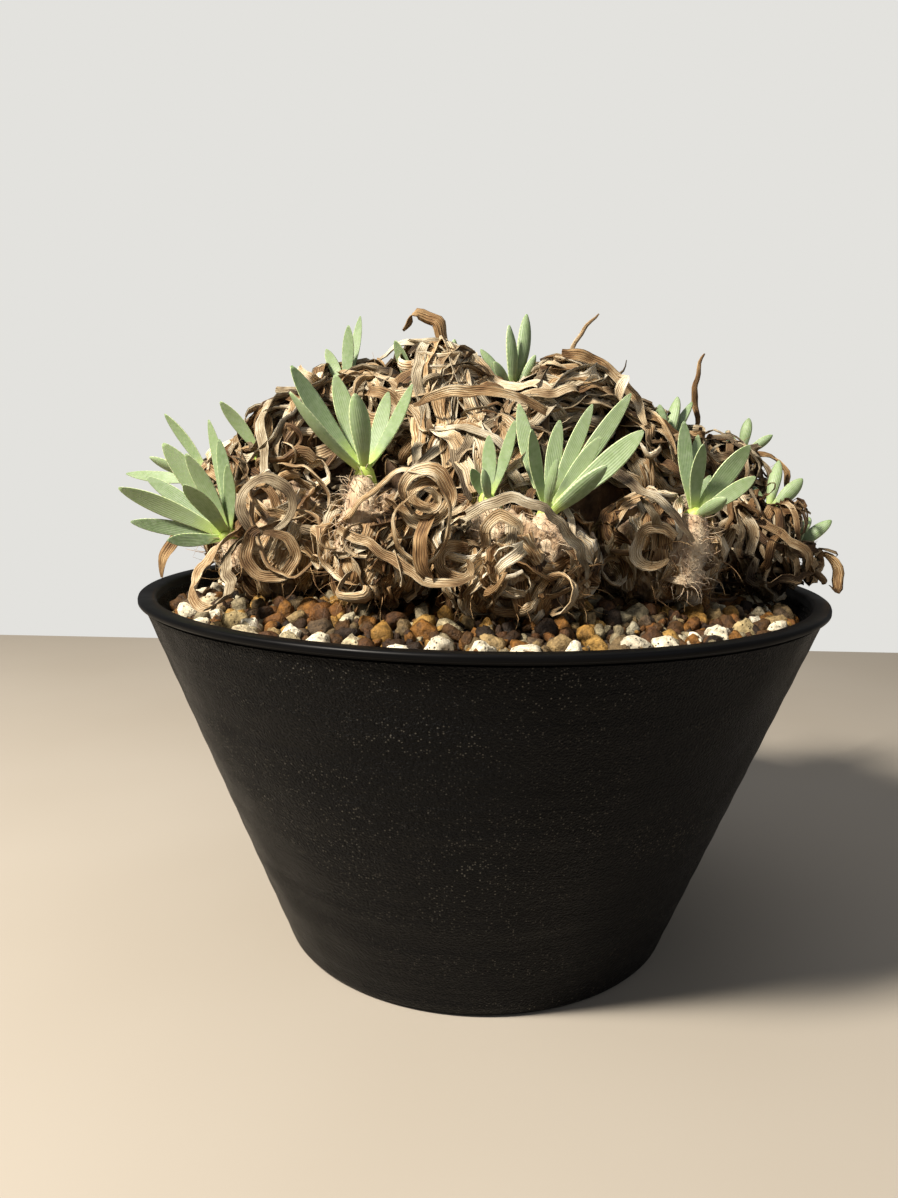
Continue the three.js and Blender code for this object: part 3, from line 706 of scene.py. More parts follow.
@dataclass(frozen=True)
class LivingBlade(Finish):
    """Fleshy living leaf: matt with wax bloom, yellow-green where it leaves the stem, and with a
    thin pale toothed margin.

    Attributes:
        teeth: Distance between the teeth on the margin, in millimetres, coarser than life so
            that they show.
        body: Its greens from dark to light.
        base: The green where it leaves the stem.
        margin: The colour of the margin.
        bloom: The colour of the wax.
    """

    teeth: float = 0.9
    body: tuple[tuple[float, str], ...] = ((0.0, "4f6a37"), (0.5, "6b834b"), (1.0, "869a66"))
    base: str = "b3c85a"
    margin: str = "e0e8b4"
    bloom: str = "a0ae93"

    def painted(self, tree: NodeTree) -> dict[str, Any]:
        """Green by leaf, pale at the margin and yellower at the base.

        Args:
            tree: The material's tree.

        Returns:
            The shader's inputs.
        """
        node = partial(add_node, tree)
        across, along, run, tone = (
            node("ShaderNodeAttribute", {"attribute_name": name}).outputs["Fac"]
            for name in ("across", "along", "run", "tone"))
        place = node(TEXTURE_PLACE).outputs["Object"]
        cloud, frost = (node(NOISE, None,
                             {"Vector": place, "Scale": scale, "Detail": 3.0})
                        for scale in (260.0, 1100.0))
        shade = node(MATH, TIMES_PLUS, [tone, 0.8, -0.15])
        shade = node(MATH, TIMES_PLUS, [cloud, 0.5, shade])
        colour = node(RAMP, {"stops": self.body}, [shade]).outputs[0]
        wax = node(MATH, TIMES, [frost, 0.7])
        young = node(MAP_RANGE, None, [along, 0.34, 0.02, 0.0, 0.9])
        phase = node(MATH, TIMES, [run, 2 * pi / self.teeth])
        wave = node(MATH, {"operation": "SINE"}, [phase])
        outer = node(MATH, SIZE_OF, [across])
        outer = node(MATH, TIMES_PLUS, [wave, 0.02, outer])
        rim = node(MAP_RANGE, None, [outer, 0.93, 0.97, 0.0, 0.7])
        for share, over in ((wax, self.bloom), (young, self.base), (rim, self.margin)):
            colour = node(MIX, COLOURS,
                          {0: share, 6: colour, 7: linear(over)}).outputs[2]
        phase = node(MATH, TIMES, [across, 9 * pi])
        vein = node(MATH, {"operation": "COSINE"}, [phase])
        height = node(MATH, TIMES_PLUS, [vein, 0.3, cloud])
        bump = node(BUMP, None, {"Distance": 0.05 * MM, "Height": height})
        return {"Base Color": colour, "Normal": bump, "Subsurface Weight": 0.12,
                "Subsurface Radius": (0.6, 1.0, 0.3), "Subsurface Scale": 1.2 * MM}


@dataclass(frozen=True)
class Mottled(Finish):
    """A natural surface whose colour comes from a stretched noise: matted fibre, felt or bark.

    Attributes:
        stops: Its colours from dark to light.
        grain: Size in millimetres of one mottle.
        stretch: How many times longer than wide a mottle is, upwards.
        depth: Depth of the relief in millimetres.
        sheen: Weight of the soft rim of light that hairs give.
    """

    stops: tuple[tuple[float, str], ...] = ()
    grain: float = 2.0
    stretch: float = 1.0
    depth: float = 0.3
    sheen: float = 0.0

    def painted(self, tree: NodeTree) -> dict[str, Any]:
        """Two sizes of noise in the object's own space.

        Args:
            tree: The material's tree.

        Returns:
            The shader's inputs.
        """
        node = partial(add_node, tree)
        scale = 1 / (self.grain * MM)
        place = node(TEXTURE_PLACE).outputs["Object"]
        at = node("ShaderNodeMapping", None,
                  {"Vector": place, "Scale": (scale, scale, scale / self.stretch)})
        coarse, fine = (node(NOISE, None, {"Vector": at, "Scale": size,
                                                          "Detail": 5.0, "Roughness": rough})
                        for size, rough in ((0.35, 0.5), (1.0, 0.65)))
        shade = node(MATH, TIMES_PLUS, [fine, 1.0, -0.5])
        shade = node(MATH, TIMES_PLUS, [coarse, 1.0, shade])
        ramp = node(RAMP, {"stops": self.stops}, [shade])
        bump = node(BUMP, None, {"Distance": self.depth * MM, "Height": fine})
        return {"Base Color": ramp, "Normal": bump, "Sheen Weight": self.sheen,
                "Sheen Roughness": 0.6}


@dataclass(frozen=True)
class WornGrit(Finish):
    """Sieved mineral grains: each has a colour of its own, dusty and pitted; the pits can be
    darkened with painted shade.

    Attributes:
        stops: The grains' colours, each from a share of them on.
        pit: Size in millimetres of the pits.
        dark: How much painted shade darkens the pits, from 0 to 1.
        depth: Depth of the pits in millimetres.
    """

    stops: tuple[tuple[float, str], ...] = ()
    pit: float = 1.1
    dark: float = 0.0
    depth: float = 0.3

    def painted(self, tree: NodeTree) -> dict[str, Any]:
        """One colour for each grain, broken up by dust and by painted shade in the pits.

        Args:
            tree: The material's tree.

        Returns:
            The shader's inputs.
        """
        node = partial(add_node, tree)
        place = node(TEXTURE_PLACE).outputs["Object"]
        tone = node("ShaderNodeAttribute", {"attribute_name": "tone"}).outputs["Fac"]
        own = node(RAMP, {"stops": self.stops, "interpolation": "CONSTANT"}, [tone])
        dust = node(NOISE, None, {
            "Vector": place, "Scale": 0.6 / (self.pit * MM), "Detail": 5.0, "Roughness": 0.7})
        pits = node("ShaderNodeTexVoronoi", None, {
            "Vector": place, "Scale": 1 / (self.pit * MM)})
        light = node(MAP_RANGE, None, [dust, 0.34, 0.68, 0.3, 1.4])
        # Pits darkened with painted shade; the same mask sinks them in the bump.
        pit_shade_and_depth = node(MAP_RANGE, None, [pits, 0.26, 0.14, 1.0, 1 - self.dark])
        light = node(MATH, TIMES, [light, pit_shade_and_depth])
        colour = node("ShaderNodeVectorMath", {"operation": "SCALE"}, {0: own, "Scale": light})
        height = node(MATH, TIMES_PLUS, [dust, 1.2, pit_shade_and_depth])
        bump = node(BUMP, None, {"Distance": self.depth * MM, "Height": height})
        return {"Base Color": colour, "Normal": bump, "Specular IOR Level": 0.25}


@dataclass(frozen=True)
class MouldedPlastic(Finish):
    """Injection-moulded polypropylene: satin black, smooth on the lip and finely pebbled on the
    wall, with a dusting of dried hard-water specks.

    Attributes:
        colour: The plastic's colour.
        worn: The colour where it is rubbed.
        dust: The colour of the specks.
        pebble: Size in millimetres of one pebble, coarser than life so that it shows.
        lip_foot: Height in millimetres at which the smooth lip starts.
    """

    colour: str = "040405"
    worn: str = "0a0a0b"
    dust: str = "7b766c"
    pebble: float = 0.45
    lip_foot: float = 78.2

    def painted(self, tree: NodeTree) -> dict[str, Any]:
        """Pebbles and specks below the lip, and soft wear on it.

        Args:
            tree: The material's tree.

        Returns:
            The shader's inputs.
        """
        node = partial(add_node, tree)
        place = node(TEXTURE_PLACE).outputs["Object"]
        height = node(SEPARATE, None, [place]).outputs[2]
        below = node(MAP_RANGE, None,
                     [height, self.lip_foot * MM, (self.lip_foot - 0.4) * MM])
        flat = node("ShaderNodeMapping", None, {"Vector": place, "Scale": (0.12, 0.12, 1.6)})
        cloud, pebble, band = (
            node(NOISE, None, {"Vector": at, "Scale": scale, "Detail": 3.0})
            for at, scale in ((place, 60.0), (place, 1 / (self.pebble * MM)), (flat, 90.0)))
        speck = node("ShaderNodeTexVoronoi", None,
                     {"Vector": place, "Scale": 1 / (self.pebble * MM)})
        dot = node(MAP_RANGE, None, [speck, 0.42, 0.12, 0.0, 0.8])
        pick = node(SEPARATE, None, [speck.outputs["Color"]])
        rare = node(MATH, {"operation": "GREATER_THAN"}, [pick, 0.8])
        drift = node(MAP_RANGE, None, [cloud, 0.3, 0.6])
        streak = node(MAP_RANGE, None, [band, 0.35, 0.6, 0.15, 1.0])
        for part in (rare, drift, streak, below):
            dot = node(MATH, TIMES, [dot, part])
        colour = linear(self.colour)
        for share, over in ((cloud, self.worn), (dot, self.dust)):
            colour = node(MIX, COLOURS,
                          {0: share, 6: colour, 7: linear(over)}).outputs[2]
        rough = node(MAP_RANGE, None,
                     [cloud, 0.3, 0.7, self.roughness - 0.1, self.roughness + 0.12])
        raised = node(MATH, TIMES_PLUS, [band, 2.5, pebble])
        raised = node(MATH, TIMES, [raised, below])
        bump = node(BUMP, None, {"Distance": 0.8 * MM, "Height": raised})
        return {"Base Color": colour, "Roughness": rough, "Normal": bump,
                "Specular IOR Level": 0.08}


@dataclass(frozen=True)
class StudioCard(Finish):
    """Painted floor board: plain, matt and nearly even.

    Attributes:
        colour: The paint.
    """

    colour: str = "dedbd5"

    def painted(self, tree: NodeTree) -> dict[str, Any]:
        """One pale colour with a trace of mottle.

        Args:
            tree: The material's tree.

        Returns:
            The shader's inputs.
        """
        node = partial(add_node, tree)
        place = node(TEXTURE_PLACE).outputs["Object"]
        cloud = node(NOISE, None, {"Vector": place, "Scale": 9.0})
        share = node(MATH, TIMES, [cloud, 0.08])
        colour = node(MIX, COLOURS,
                      {0: share, 6: linear(self.colour), 7: linear("ffffff")})
        return {"Base Color": colour.outputs[2]}


# Dry, papery and ribbed: straw where the sun bleached it, grey on top, russet low down
DEAD_LEAF = DriedBlade("Withered leaf, sun-dried", 0.68)
# Waxy and matt, so that its green looks dusted
LIVING_LEAF = LivingBlade("Living leaf, waxy bloom", 0.5)
# Matted leaf bases: dark brown, and darker still as painted shade, because little light gets in
# between them
LEAF_BASES = Mottled("Matted leaf bases, rotted", 0.95, stops=(
    (0.0, "1c130b"), (0.4, "412e1c"), (0.7, "6e5236"), (1.0, "9a7b52")),
    grain=1.0, stretch=4.0, depth=0.9)
# Felt and papery scraps that cover the lobes in front: tan to pinkish cream, soft and fibrous
LEAF_FELT = Mottled("Leaf-base felt, weathered", 0.95, stops=(
    (0.0, "2e2014"), (0.25, "6d5339"), (0.45, "a08363"), (0.66, "c7af8e"), (0.9, "e9dec8")),
    grain=0.9, stretch=3.0, depth=1.1, sheen=0.15)
# Fine fibres torn from the leaf bases: russet to straw
TORN_FIBRE = Mottled("Leaf fibre, torn", 0.85, stops=(
    (0.0, "46301b"), (0.4, "85633f"), (0.7, "bb9d70"), (1.0, "e9d8b4")),
    grain=2.5, depth=0.05)
# The wool in the leaf axils: pinkish tan to cream, soft at its outline
AXIL_WOOL = Mottled("Axil wool, felted", 0.95, stops=(
    (0.0, "71543a"), (0.3, "a8896a"), (0.6, "cfb998"), (1.0, "eee2cb")),
    grain=0.9, stretch=4.0, depth=0.7, sheen=0.3)
# Corky skin of the rootstock: brown, felty where old scales fell
ROOT_BARK = Mottled("Rootstock bark, corky", 0.9, stops=(
    (0.0, "1d120b"), (0.4, "4c3825"), (0.7, "7d6145"), (1.0, "ab8e69")),
    grain=2.2, stretch=1.6, depth=0.9, sheen=0.1)
# Fine sand and dust between the grains: dark and damp
SAND_BED = Mottled("Potting sand, damp", 0.95, stops=(
    (0.0, "0f0a06"), (0.45, "21170e"), (0.75, "3a2a1a"), (1.0, "5e4529")),
    grain=0.9, depth=0.7)
# Ochre, rust, brown and grey grit, a little shiny where it is damp
GRIT = WornGrit("Grit, river-worn", 0.5, stops=(
    (0.0, "4f371e"), (0.1, "7c5425"), (0.18, "2b2017"), (0.26, "957037"), (0.33, "67563c"),
    (0.42, "523720"), (0.51, "85795f"), (0.59, "382718"), (0.67, "937c55"), (0.74, "6c4722"),
    (0.81, "574735"), (0.88, "a58145"), (0.93, "a89b7b"), (0.97, "c9bfa2")), pit=0.7, depth=0.6)
# Pale pumice: light, rough and full of pits, darkened with painted shade
PUMICE = WornGrit("Pumice, sieved", 0.95, stops=(
    (0.0, "d6cbb2"), (0.35, "e2d8c0"), (0.6, "c2b393"), (0.8, "a8956c")),
    pit=0.8, dark=0.8, depth=0.4)
POT_PLASTIC = MouldedPlastic("Polypropylene, injection-moulded", 0.4, ior=1.49)
FLOOR_CARD = StudioCard("Floor board, painted", 0.8, colour="9a9184")


# ---- Geometry Nodes ----


class NodeRecipe:
    """A geometry node tree with named inputs, used as a modifier and then applied."""

    def __init__(self, name: str, sockets: dict[str, str]) -> None:
        """Starts the tree.

        Args:
            name: The tree's name.
            sockets: The socket type of each named input.
        """
        self.tree = bpy.data.node_groups.new(name, "GeometryNodeTree")
        face = self.tree.interface
        face.new_socket("Geometry", in_out="INPUT", socket_type="NodeSocketGeometry")
        self.identifiers = {
            key: face.new_socket(key, in_out="INPUT", socket_type=kind).identifier
            for key, kind in sockets.items()
        }
        face.new_socket("Geometry", in_out="OUTPUT", socket_type="NodeSocketGeometry")
        self.inputs = self.tree.nodes.new("NodeGroupInput").outputs

    def add(self, kind: str, settings: dict[str, Any] | None = None,
            inputs: dict[str | int, Any] | list[Any] | None = None) -> Node:
        """Adds a node to the tree."""
        return add_node(self.tree, kind, settings, inputs)

    def end(self, geometry: Any) -> None:
        """Ends the tree with plain, smooth geometry in its material.

        Args:
            geometry: The last geometry.
        """
        real = self.add("GeometryNodeRealizeInstances", inputs={0: geometry})
        smooth = self.add("GeometryNodeSetShadeSmooth", inputs={0: real})
        dressed = self.add("GeometryNodeSetMaterial",
                           inputs={0: smooth, "Material": self.inputs["Material"]})
        self.add("NodeGroupOutput", inputs={0: dressed})

    def apply(self, thing: Object, values: dict[str, Any]) -> Mesh:
        """Runs the tree on an object.

        Args:
            thing: The object, whose mesh is replaced.
            values: The named inputs.

        Returns:
            The object's new mesh.
        """
        modifier = thing.modifiers.new(self.tree.name, "NODES")
        modifier.node_group = self.tree
        for key, value in values.items():
            modifier[self.identifiers[key]] = value
        return plain_mesh(thing)


class StrapSweep(NodeRecipe):
    """Sweeps a thin cupped blade along every path of a mesh of edges.

    Attributes:
        sizes: Its thickness and its bow as shares of half its width, and its corners.
    """

    sizes = {"Thickness": 0.11, "Cup": 0.48, "Sides": 8}

    def __init__(self) -> None:
        """Builds the tree."""
        super().__init__("strap_sweep", {
            "Thickness": "NodeSocketFloat", "Cup": "NodeSocketFloat",
            "Sides": "NodeSocketInt", "Material": "NodeSocketMaterial"})
        side, half = (self.add("GeometryNodeInputNamedAttribute", {"data_type": kind}, {0: name})
                      for name, kind in (("side", "FLOAT_VECTOR"), ("half", "FLOAT")))
        curves = self.add("GeometryNodeMeshToCurve", inputs={0: self.inputs["Geometry"]})
        aimed = self.add("GeometryNodeSetCurveNormal", {"mode": "FREE"},
                         {0: curves, "Normal": side})
        ring = self.add("GeometryNodeCurvePrimitiveCircle",
                        inputs={"Resolution": self.inputs["Sides"], "Radius": 1.0})
        at = self.add(SEPARATE, inputs={0: self.add("GeometryNodeInputPosition")})
        marked = self.add("GeometryNodeStoreNamedAttribute",
                          inputs={"Geometry": ring, "Name": "across", "Value": at.outputs[0]})
        x, y = at.outputs[:2]
        square = self.add(MATH, TIMES, [x, x])
        bow = self.add(MATH, TIMES, [square, self.inputs["Cup"]])
        rise = self.add(MATH, TIMES_PLUS, [y, self.inputs["Thickness"], bow])
        flat = self.add(COMBINE, None, [x, rise])
        profile = self.add("GeometryNodeSetPosition", inputs={0: marked, "Position": flat})
        swept = self.add("GeometryNodeCurveToMesh", inputs={
            "Curve": aimed, "Profile Curve": profile, "Scale": half,
            "Fill Caps": True})
        self.end(swept)


class Scatter(NodeRecipe):
    """Scatters small shapes over a surface, each turned and sized at random."""

    def __init__(self, name: str, stands_up: bool) -> None:
        """Builds the tree.

        Args:
            name: The tree's name.
            stands_up: Whether a shape keeps the surface's direction and only leans, as hairs do.
        """
        super().__init__(name, {
            "Spacing": "NodeSocketFloat", "Density": "NodeSocketFloat",
            "Smallest": "NodeSocketFloat", "Largest": "NodeSocketFloat",
            "Lean": "NodeSocketFloat", "Seed": "NodeSocketInt",
            "Shapes": "NodeSocketCollection", "Material": "NodeSocketMaterial"})
        share = self.add("GeometryNodeInputNamedAttribute", {"data_type": "FLOAT"}, {0: "share"})
        spread = self.add("GeometryNodeDistributePointsOnFaces", {"distribute_method": "POISSON"}, {
            "Mesh": self.inputs["Geometry"], "Distance Min": self.inputs["Spacing"],
            "Density Max": self.inputs["Density"], "Density Factor": share,
            "Seed": self.inputs["Seed"]})
        lean = self.inputs["Lean"]
        back = self.add(MATH, TIMES, [lean, -1.0])
        low = self.add(COMBINE, None, [back, back, -pi])
        high = self.add(COMBINE, None, [lean, lean, pi])
        wander = self.add(RANDOM, {"data_type": "FLOAT_VECTOR"},
                          {0: low, 1: high, "Seed": self.inputs["Seed"]})
        turn: Any = wander
        if stands_up:
            turn = self.add("FunctionNodeRotateRotation", {"rotation_space": "LOCAL"},
                            {0: spread.outputs["Rotation"], 1: wander})
        size = self.add(RANDOM, {"data_type": "FLOAT"},
                        {2: self.inputs["Smallest"], 3: self.inputs["Largest"], "Seed": 5})
        shapes = self.add("GeometryNodeCollectionInfo",
                          inputs={"Collection": self.inputs["Shapes"], "Separate Children": True,
                                  "Reset Children": True})
        placed = self.add("GeometryNodeInstanceOnPoints", inputs={
            "Points": spread, "Instance": shapes, "Pick Instance": True, "Rotation": turn,
            "Scale": size.outputs[1]})
        tone = self.add(RANDOM, {"data_type": "FLOAT"}, {2: 0.0, 3: 1.0, "Seed": 9})
        toned = self.add("GeometryNodeStoreNamedAttribute", {"domain": "INSTANCE"},
                         {"Geometry": placed, "Name": "tone", "Value": tone.outputs[1]})
        self.end(toned)


def shape_collection(name: str, meshes: Sequence[Mesh]) -> Collection:
    """Holds shapes for a scatter outside the scene.

    Args:
        name: Its name.
        meshes: The shapes.

    Returns:
        The collection.
    """
    held = bpy.data.collections.new(name)
    for k, mesh in enumerate(meshes):
        held.objects.link(bpy.data.objects.new(f"{name}_{k}", mesh))
    return held


# ---- Pieces ----


def settle(
    piece: Object, nodes: Sequence[str], finish: Finish | None = None
) -> Object:
    """Ties a finished piece to the frame.

    Args:
        piece: The piece.
        nodes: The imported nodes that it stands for.
        finish: Its material, if it has none yet.

    Returns:
        The piece.
    """
    if finish:
        piece.data.materials.clear()
        piece.data.materials.append(finish.material())
    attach(piece, "root")
    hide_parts(*nodes)
    piece.data.calc_loop_triangles()
    LOG.info("%s: %d triangles", piece.name, len(piece.data.loop_triangles))
    return piece


@dataclass
class Pot:
    """The round plastic pot with its rolled lip and drainage holes."""

    height: float = 80.0
    rim_radius: float = 75.0
    base_radius: float = 44.0
    lip_height: float = 1.4
    lip_width: float = 3.7
    lip_step: float = 0.5
    wall: float = 2.4
    floor: float = 3.0
    drain_holes: int = 6
    drain_radius: float = 3.5
    drain_ring: float = 24.0
    sides: int = 192
    ripple: float = 0.05
    ripple_spacing: float = 7.0

    def outer(self, height: float) -> float:
        """The wall's outer radius at a height."""
        top = self.rim_radius - self.lip_step
        return self.base_radius + (top - self.base_radius) * height / self.height

    def inner(self, height: float) -> float:
        """The wall's inner radius at a height.

        Args:
            height: Height above the board.

        Returns:
            The radius.
        """
        shoulder = self.height - 2 * self.lip_width
        share = min(1.0, max(0.0, (height - shoulder) / self.lip_width))
        wall = self.outer(min(height, shoulder)) - self.wall
        return wall + (self.rim_radius - self.lip_width - wall) * share

    def outline(self) -> list[tuple[float, float]]:
        """The half section, from the middle of the underside round to the middle of the floor.

        Returns:
            Radius and height of each corner.
        """
        foot = self.height - self.lip_height
        points = [(0.0, 0.0), (self.base_radius - 1.2, 0.0), (self.base_radius - 0.3, 0.35),
                  (self.outer(1.2), 1.2)]
        for height in np.arange(2.5, foot - 0.5, 1.25):
            wave = self.ripple * sin(2 * pi * height / self.ripple_spacing)
            fade = min(1.0, (foot - height) / 8)
            points.append((self.outer(height) + wave * fade, float(height)))
        inner_rim = self.rim_radius - self.lip_width
        points += [(self.outer(foot), foot - 0.02), (self.rim_radius - 0.15, foot + 0.1),
                   (self.rim_radius, foot + 0.3), (self.rim_radius, self.height - 0.55),
                   (self.rim_radius - 0.12, self.height - 0.2),
                   (self.rim_radius - 0.42, self.height),
                   (inner_rim + 0.9, self.height), (inner_rim + 0.35, self.height - 0.15),
                   (inner_rim + 0.05, self.height - 0.5)]
        points += [(self.inner(h), h) for h in (76.3, 74.5, 72.6, 60.0, 40.0, 20.0, 5.0)]
        points += [(self.inner(3.6) - 0.4, 3.6), (self.inner(3.0) - 1.4, 3.0), (0.0, self.floor)]
        return points

    def build(self) -> Object:
        """Turns the section and drills the holes.

        Returns:
            The pot.
        """
        vertices, faces = lathe(self.outline(), self.sides)
        pot = new_object("plastic_pot", skin_mesh("plastic_pot", vertices, faces))
        shape = bmesh.new()
        for k in range(self.drain_holes):
            angle = 2 * pi * k / self.drain_holes
            at = Vector((cos(angle), sin(angle), 0)) * self.drain_ring * MM
            bmesh.ops.create_cone(
                shape, cap_ends=True, segments=32, radius1=self.drain_radius * MM,
                radius2=self.drain_radius * MM, depth=4 * self.floor * MM,
                matrix=Matrix.Translation(at))
        cutter = new_object("drill", mesh_of(shape, "drill"))
        cut = pot.modifiers.new("drain", "BOOLEAN")
        cut.operation, cut.solver, cut.object = "DIFFERENCE", "EXACT", cutter
        plain_mesh(pot)
        bpy.data.objects.remove(cutter)
        pot.data.set_sharp_from_angle(angle=radians(50))
        return pot

    def dress(self, piece: Object) -> Object:
        """Gives the pot its plastic."""
        return settle(piece, ["pot"], POT_PLASTIC)


@dataclass
class PottingMix:
    """The gritty mix: a heaped bed of sand with loose grains on it."""

    pot: Pot
    edge_height: float = 74.5
    slope_height: float = 78.5
    slope_radius: float = 46.0
    crown_height: float = 80.5
    crown_radius: float = 22.0
    bed_sides: int = 120
    clearance: float = 0.4
    field_rings: int = 40
    field_sides: int = 90
    grain_kinds: int = 7
    density: float = 9e5

    def height(self, radius: float) -> float:
        """Height of the bed at a distance from the middle.

        Args:
            radius: Distance from the pot's axis.

        Returns:
            The height.
        """
        edge = self.pot.inner(self.edge_height) - self.clearance
        if radius > self.slope_radius:
            share = (edge - radius) / (edge - self.slope_radius)
            return self.edge_height + (self.slope_height - self.edge_height) * share
        share = min(1.0, (self.slope_radius - radius) / (self.slope_radius - self.crown_radius))
        return self.slope_height + (self.crown_height - self.slope_height) * share

    def build_bed(self) -> Object:
        """The body of the mix.

        Returns:
            The bed.
        """
        edge = self.pot.inner(self.edge_height) - self.clearance
        outline = [(0.0, self.pot.floor + 0.3)]
        outline += [(self.pot.inner(h) - self.clearance - 0.6, h) for h in (3.4, 30.0, 60.0, 72.6)]
        radii = np.linspace(edge, 1.5, 44)
        outline += [(float(r), self.height(float(r)) - 0.6) for r in radii]
        outline.append((0.0, self.crown_height - 0.6))
        vertices, faces = lathe(outline, self.bed_sides)
        for vertex in vertices:
            if vertex[2] > self.edge_height - 2:
                inside = min(1.0, max(0.0, (edge - hypot(vertex[0], vertex[1])) / 3))
                vertex[2] += inside * 0.9 * noise.noise(Vector(vertex) * 0.35)
        return new_object("mix_bed", skin_mesh("mix_bed", vertices, faces))

    def grain_shapes(self, name: str, cuts: int, seed: int) -> Collection:
        """Angular, worn grains about two millimetres across.

        Args:
            name: The name of their collection.
            cuts: How often a cube's faces are cut, which sets how many faces a grain has.
            seed: A whole number.

        Returns:
            The collection.
        """
        meshes = []
        draw = Random(seed)
        for k in range(self.grain_kinds):
            shape = bmesh.new()
            bmesh.ops.create_cube(shape, size=2.0)
            bmesh.ops.subdivide_edges(shape, edges=shape.edges[:], cuts=cuts, use_grid_fill=True)
            squash = Vector((1.12, draw.uniform(0.7, 0.95), draw.uniform(0.55, 0.8)))
            offset = Vector((draw.uniform(0, 90), draw.uniform(0, 90), draw.uniform(0, 90)))
            for vertex in shape.verts:
                rounded = vertex.co.normalized()
                spot = rounded.lerp(vertex.co, 0.24)
                spot *= 0.92 + 0.4 * noise.noise(rounded * 1.2 + offset)
                vertex.co = Vector(a * b for a, b in zip(spot, squash)) * MM
            meshes.append(mesh_of(shape, f"{name}_{k}"))
        return shape_collection(name, meshes)

    def build_grains(self, name: str, sizes: Triple, reach: tuple[float, float],
                     scatter: Scatter, cuts: int, finish: Finish) -> Object:
        """Scatters grains of one grade on the bed.

        Args:
            name: The piece's name.
            sizes: The smallest and largest radius of a grain, and the spacing of grains.
            reach: The inner and outer radius of the ring that holds them.
            scatter: The scatter recipe.
            cuts: How finely a grain is cut.
            finish: The grains' material.

        Returns:
            The grains.
        """
        smallest, largest, spacing = sizes
        rings, sides = self.field_rings, self.field_sides
        radii = np.linspace(reach[0], reach[1], rings)
        angle = 2 * pi * np.arange(sides) / sides
        sink = 0.35 * smallest
        vertices = [(r * cos(a), r * sin(a), self.height(r) + sink)
                    for r in radii for a in angle]
        faces = [[low + k, low + sides + k, low + sides + (k + 1) % sides, low + (k + 1) % sides]
                 for low in range(0, (rings - 1) * sides, sides) for k in range(sides)]
        share = {"share": np.ones(len(vertices))}
        grains = new_object(name, skin_mesh(name, np.array(vertices), faces, share))
        scatter.apply(grains, {
            "Spacing": spacing * MM, "Density": self.density, "Smallest": smallest,
            "Largest": largest, "Lean": pi, "Seed": len(name), "Material": finish.material(),
            "Shapes": self.grain_shapes(f"{name}_shape", cuts, cuts)})
        return grains

    def dress(self, bed: Object, grains: Sequence[Object]) -> None:
        """Gives the bed its sand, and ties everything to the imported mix.

        Args:
            bed: The body of the mix.
            grains: The grades of grains, which have their materials.
        """
        for piece, finish in ((bed, SAND_BED), *((grade, None) for grade in grains)):
            settle(piece, ["potting_mix"], finish)


@dataclass
class Rootstock:
    """The swollen rootstock and its branches, which show dark between the heads."""

    branch_height: float = 84.0
    start_share: float = 0.2
    root_radius: float = 7.0
    tip_radius: float = 5.0
    short: float = 5.0
    voxel: float = 1.5
    knots: float = 1.1

    def build(self) -> Object:
        """Joins the body and the branches in one skin, roughened by knots.

        Returns:
            The rootstock.
        """
        shape = bmesh.new()
        outline = [(0.0, ROOTSTOCK[0][1]), *ROOTSTOCK, (0.0, ROOTSTOCK[-1][1])]
        vertices, faces = lathe(outline, 48)
        made = [shape.verts.new(v) for v in vertices]
        for face in faces:
            shape.faces.new([made[k] for k in face])
        for head in HEADS:
            end = np.array(head.centre, float)
            root = np.array((*(end[:2] * self.start_share), self.branch_height))
            heading = unit(end - root)
            end = end - heading * self.short
            middle, length = (root + end) / 2, float(np.linalg.norm(end - root))
            turn = Vector((0, 0, 1)).rotation_difference(Vector(heading)).to_matrix().to_4x4()
            bmesh.ops.create_cone(shape, cap_ends=True, segments=20, radius1=self.root_radius,
                                  radius2=self.tip_radius, depth=length,
                                  matrix=Matrix.Translation(Vector(middle)) @ turn)
        piece = new_object("rootstock", mesh_of(shape, "rootstock"))
        skin = piece.modifiers.new("skin", "REMESH")
        skin.mode, skin.voxel_size, skin.use_smooth_shade = "VOXEL", self.voxel, True
        soften = piece.modifiers.new("soften", "SMOOTH")
        soften.factor, soften.iterations = 0.6, 6
        mesh = plain_mesh(piece)
        ways = [vertex.normal.copy() for vertex in mesh.vertices]
        for vertex, way in zip(mesh.vertices, ways):
            bulge = noise.noise(vertex.co * 0.16) + 0.5 * noise.noise(vertex.co * 0.5)
            vertex.co = (vertex.co + way * self.knots * bulge) * MM
        mesh.shade_smooth()
        return piece

    def dress(self, piece: Object) -> Object:
        """Gives the rootstock its bark."""
        return settle(piece, ["caudex"], ROOT_BARK)


def head_axis(head: HeadPlan) -> Array:
    """The direction in which a head grows."""
    return unit(np.array(head.centre) - DOME_CENTRE)


def rosettes_of(head: HeadPlan) -> tuple[RosettePlan, ...]:
    """A head's rosettes, with any that the table only counts worked out by the spiral rule.

    Args:
        head: The head.

    Returns:
        Its rosettes.
    """
    if isinstance(head.rosettes, tuple):
        return head.rosettes
    draw = plan_random(HEADS.index(head) + 300)
    axis = head_axis(head)
    base = np.array(head.centre) + axis * sum(head.radius) / 3
    side = unit(np.cross((0.0, 0.0, 1.0), axis))
    leaves = []
    for k in range(head.rosettes):
        tilt = radians(14 + 46 * k / head.rosettes + 8 * draw())
        around = k * GOLDEN_ANGLE + draw()
        length = 19 - 6 * k / head.rosettes - 4 * draw()
        lean = turned(side, axis, around)
        tip = turned(axis, lean, tilt) * length
        leaves.append((*tip.tolist(), 3.4 + draw()))
    return (RosettePlan(tuple(base.tolist()), tuple(leaves)),)


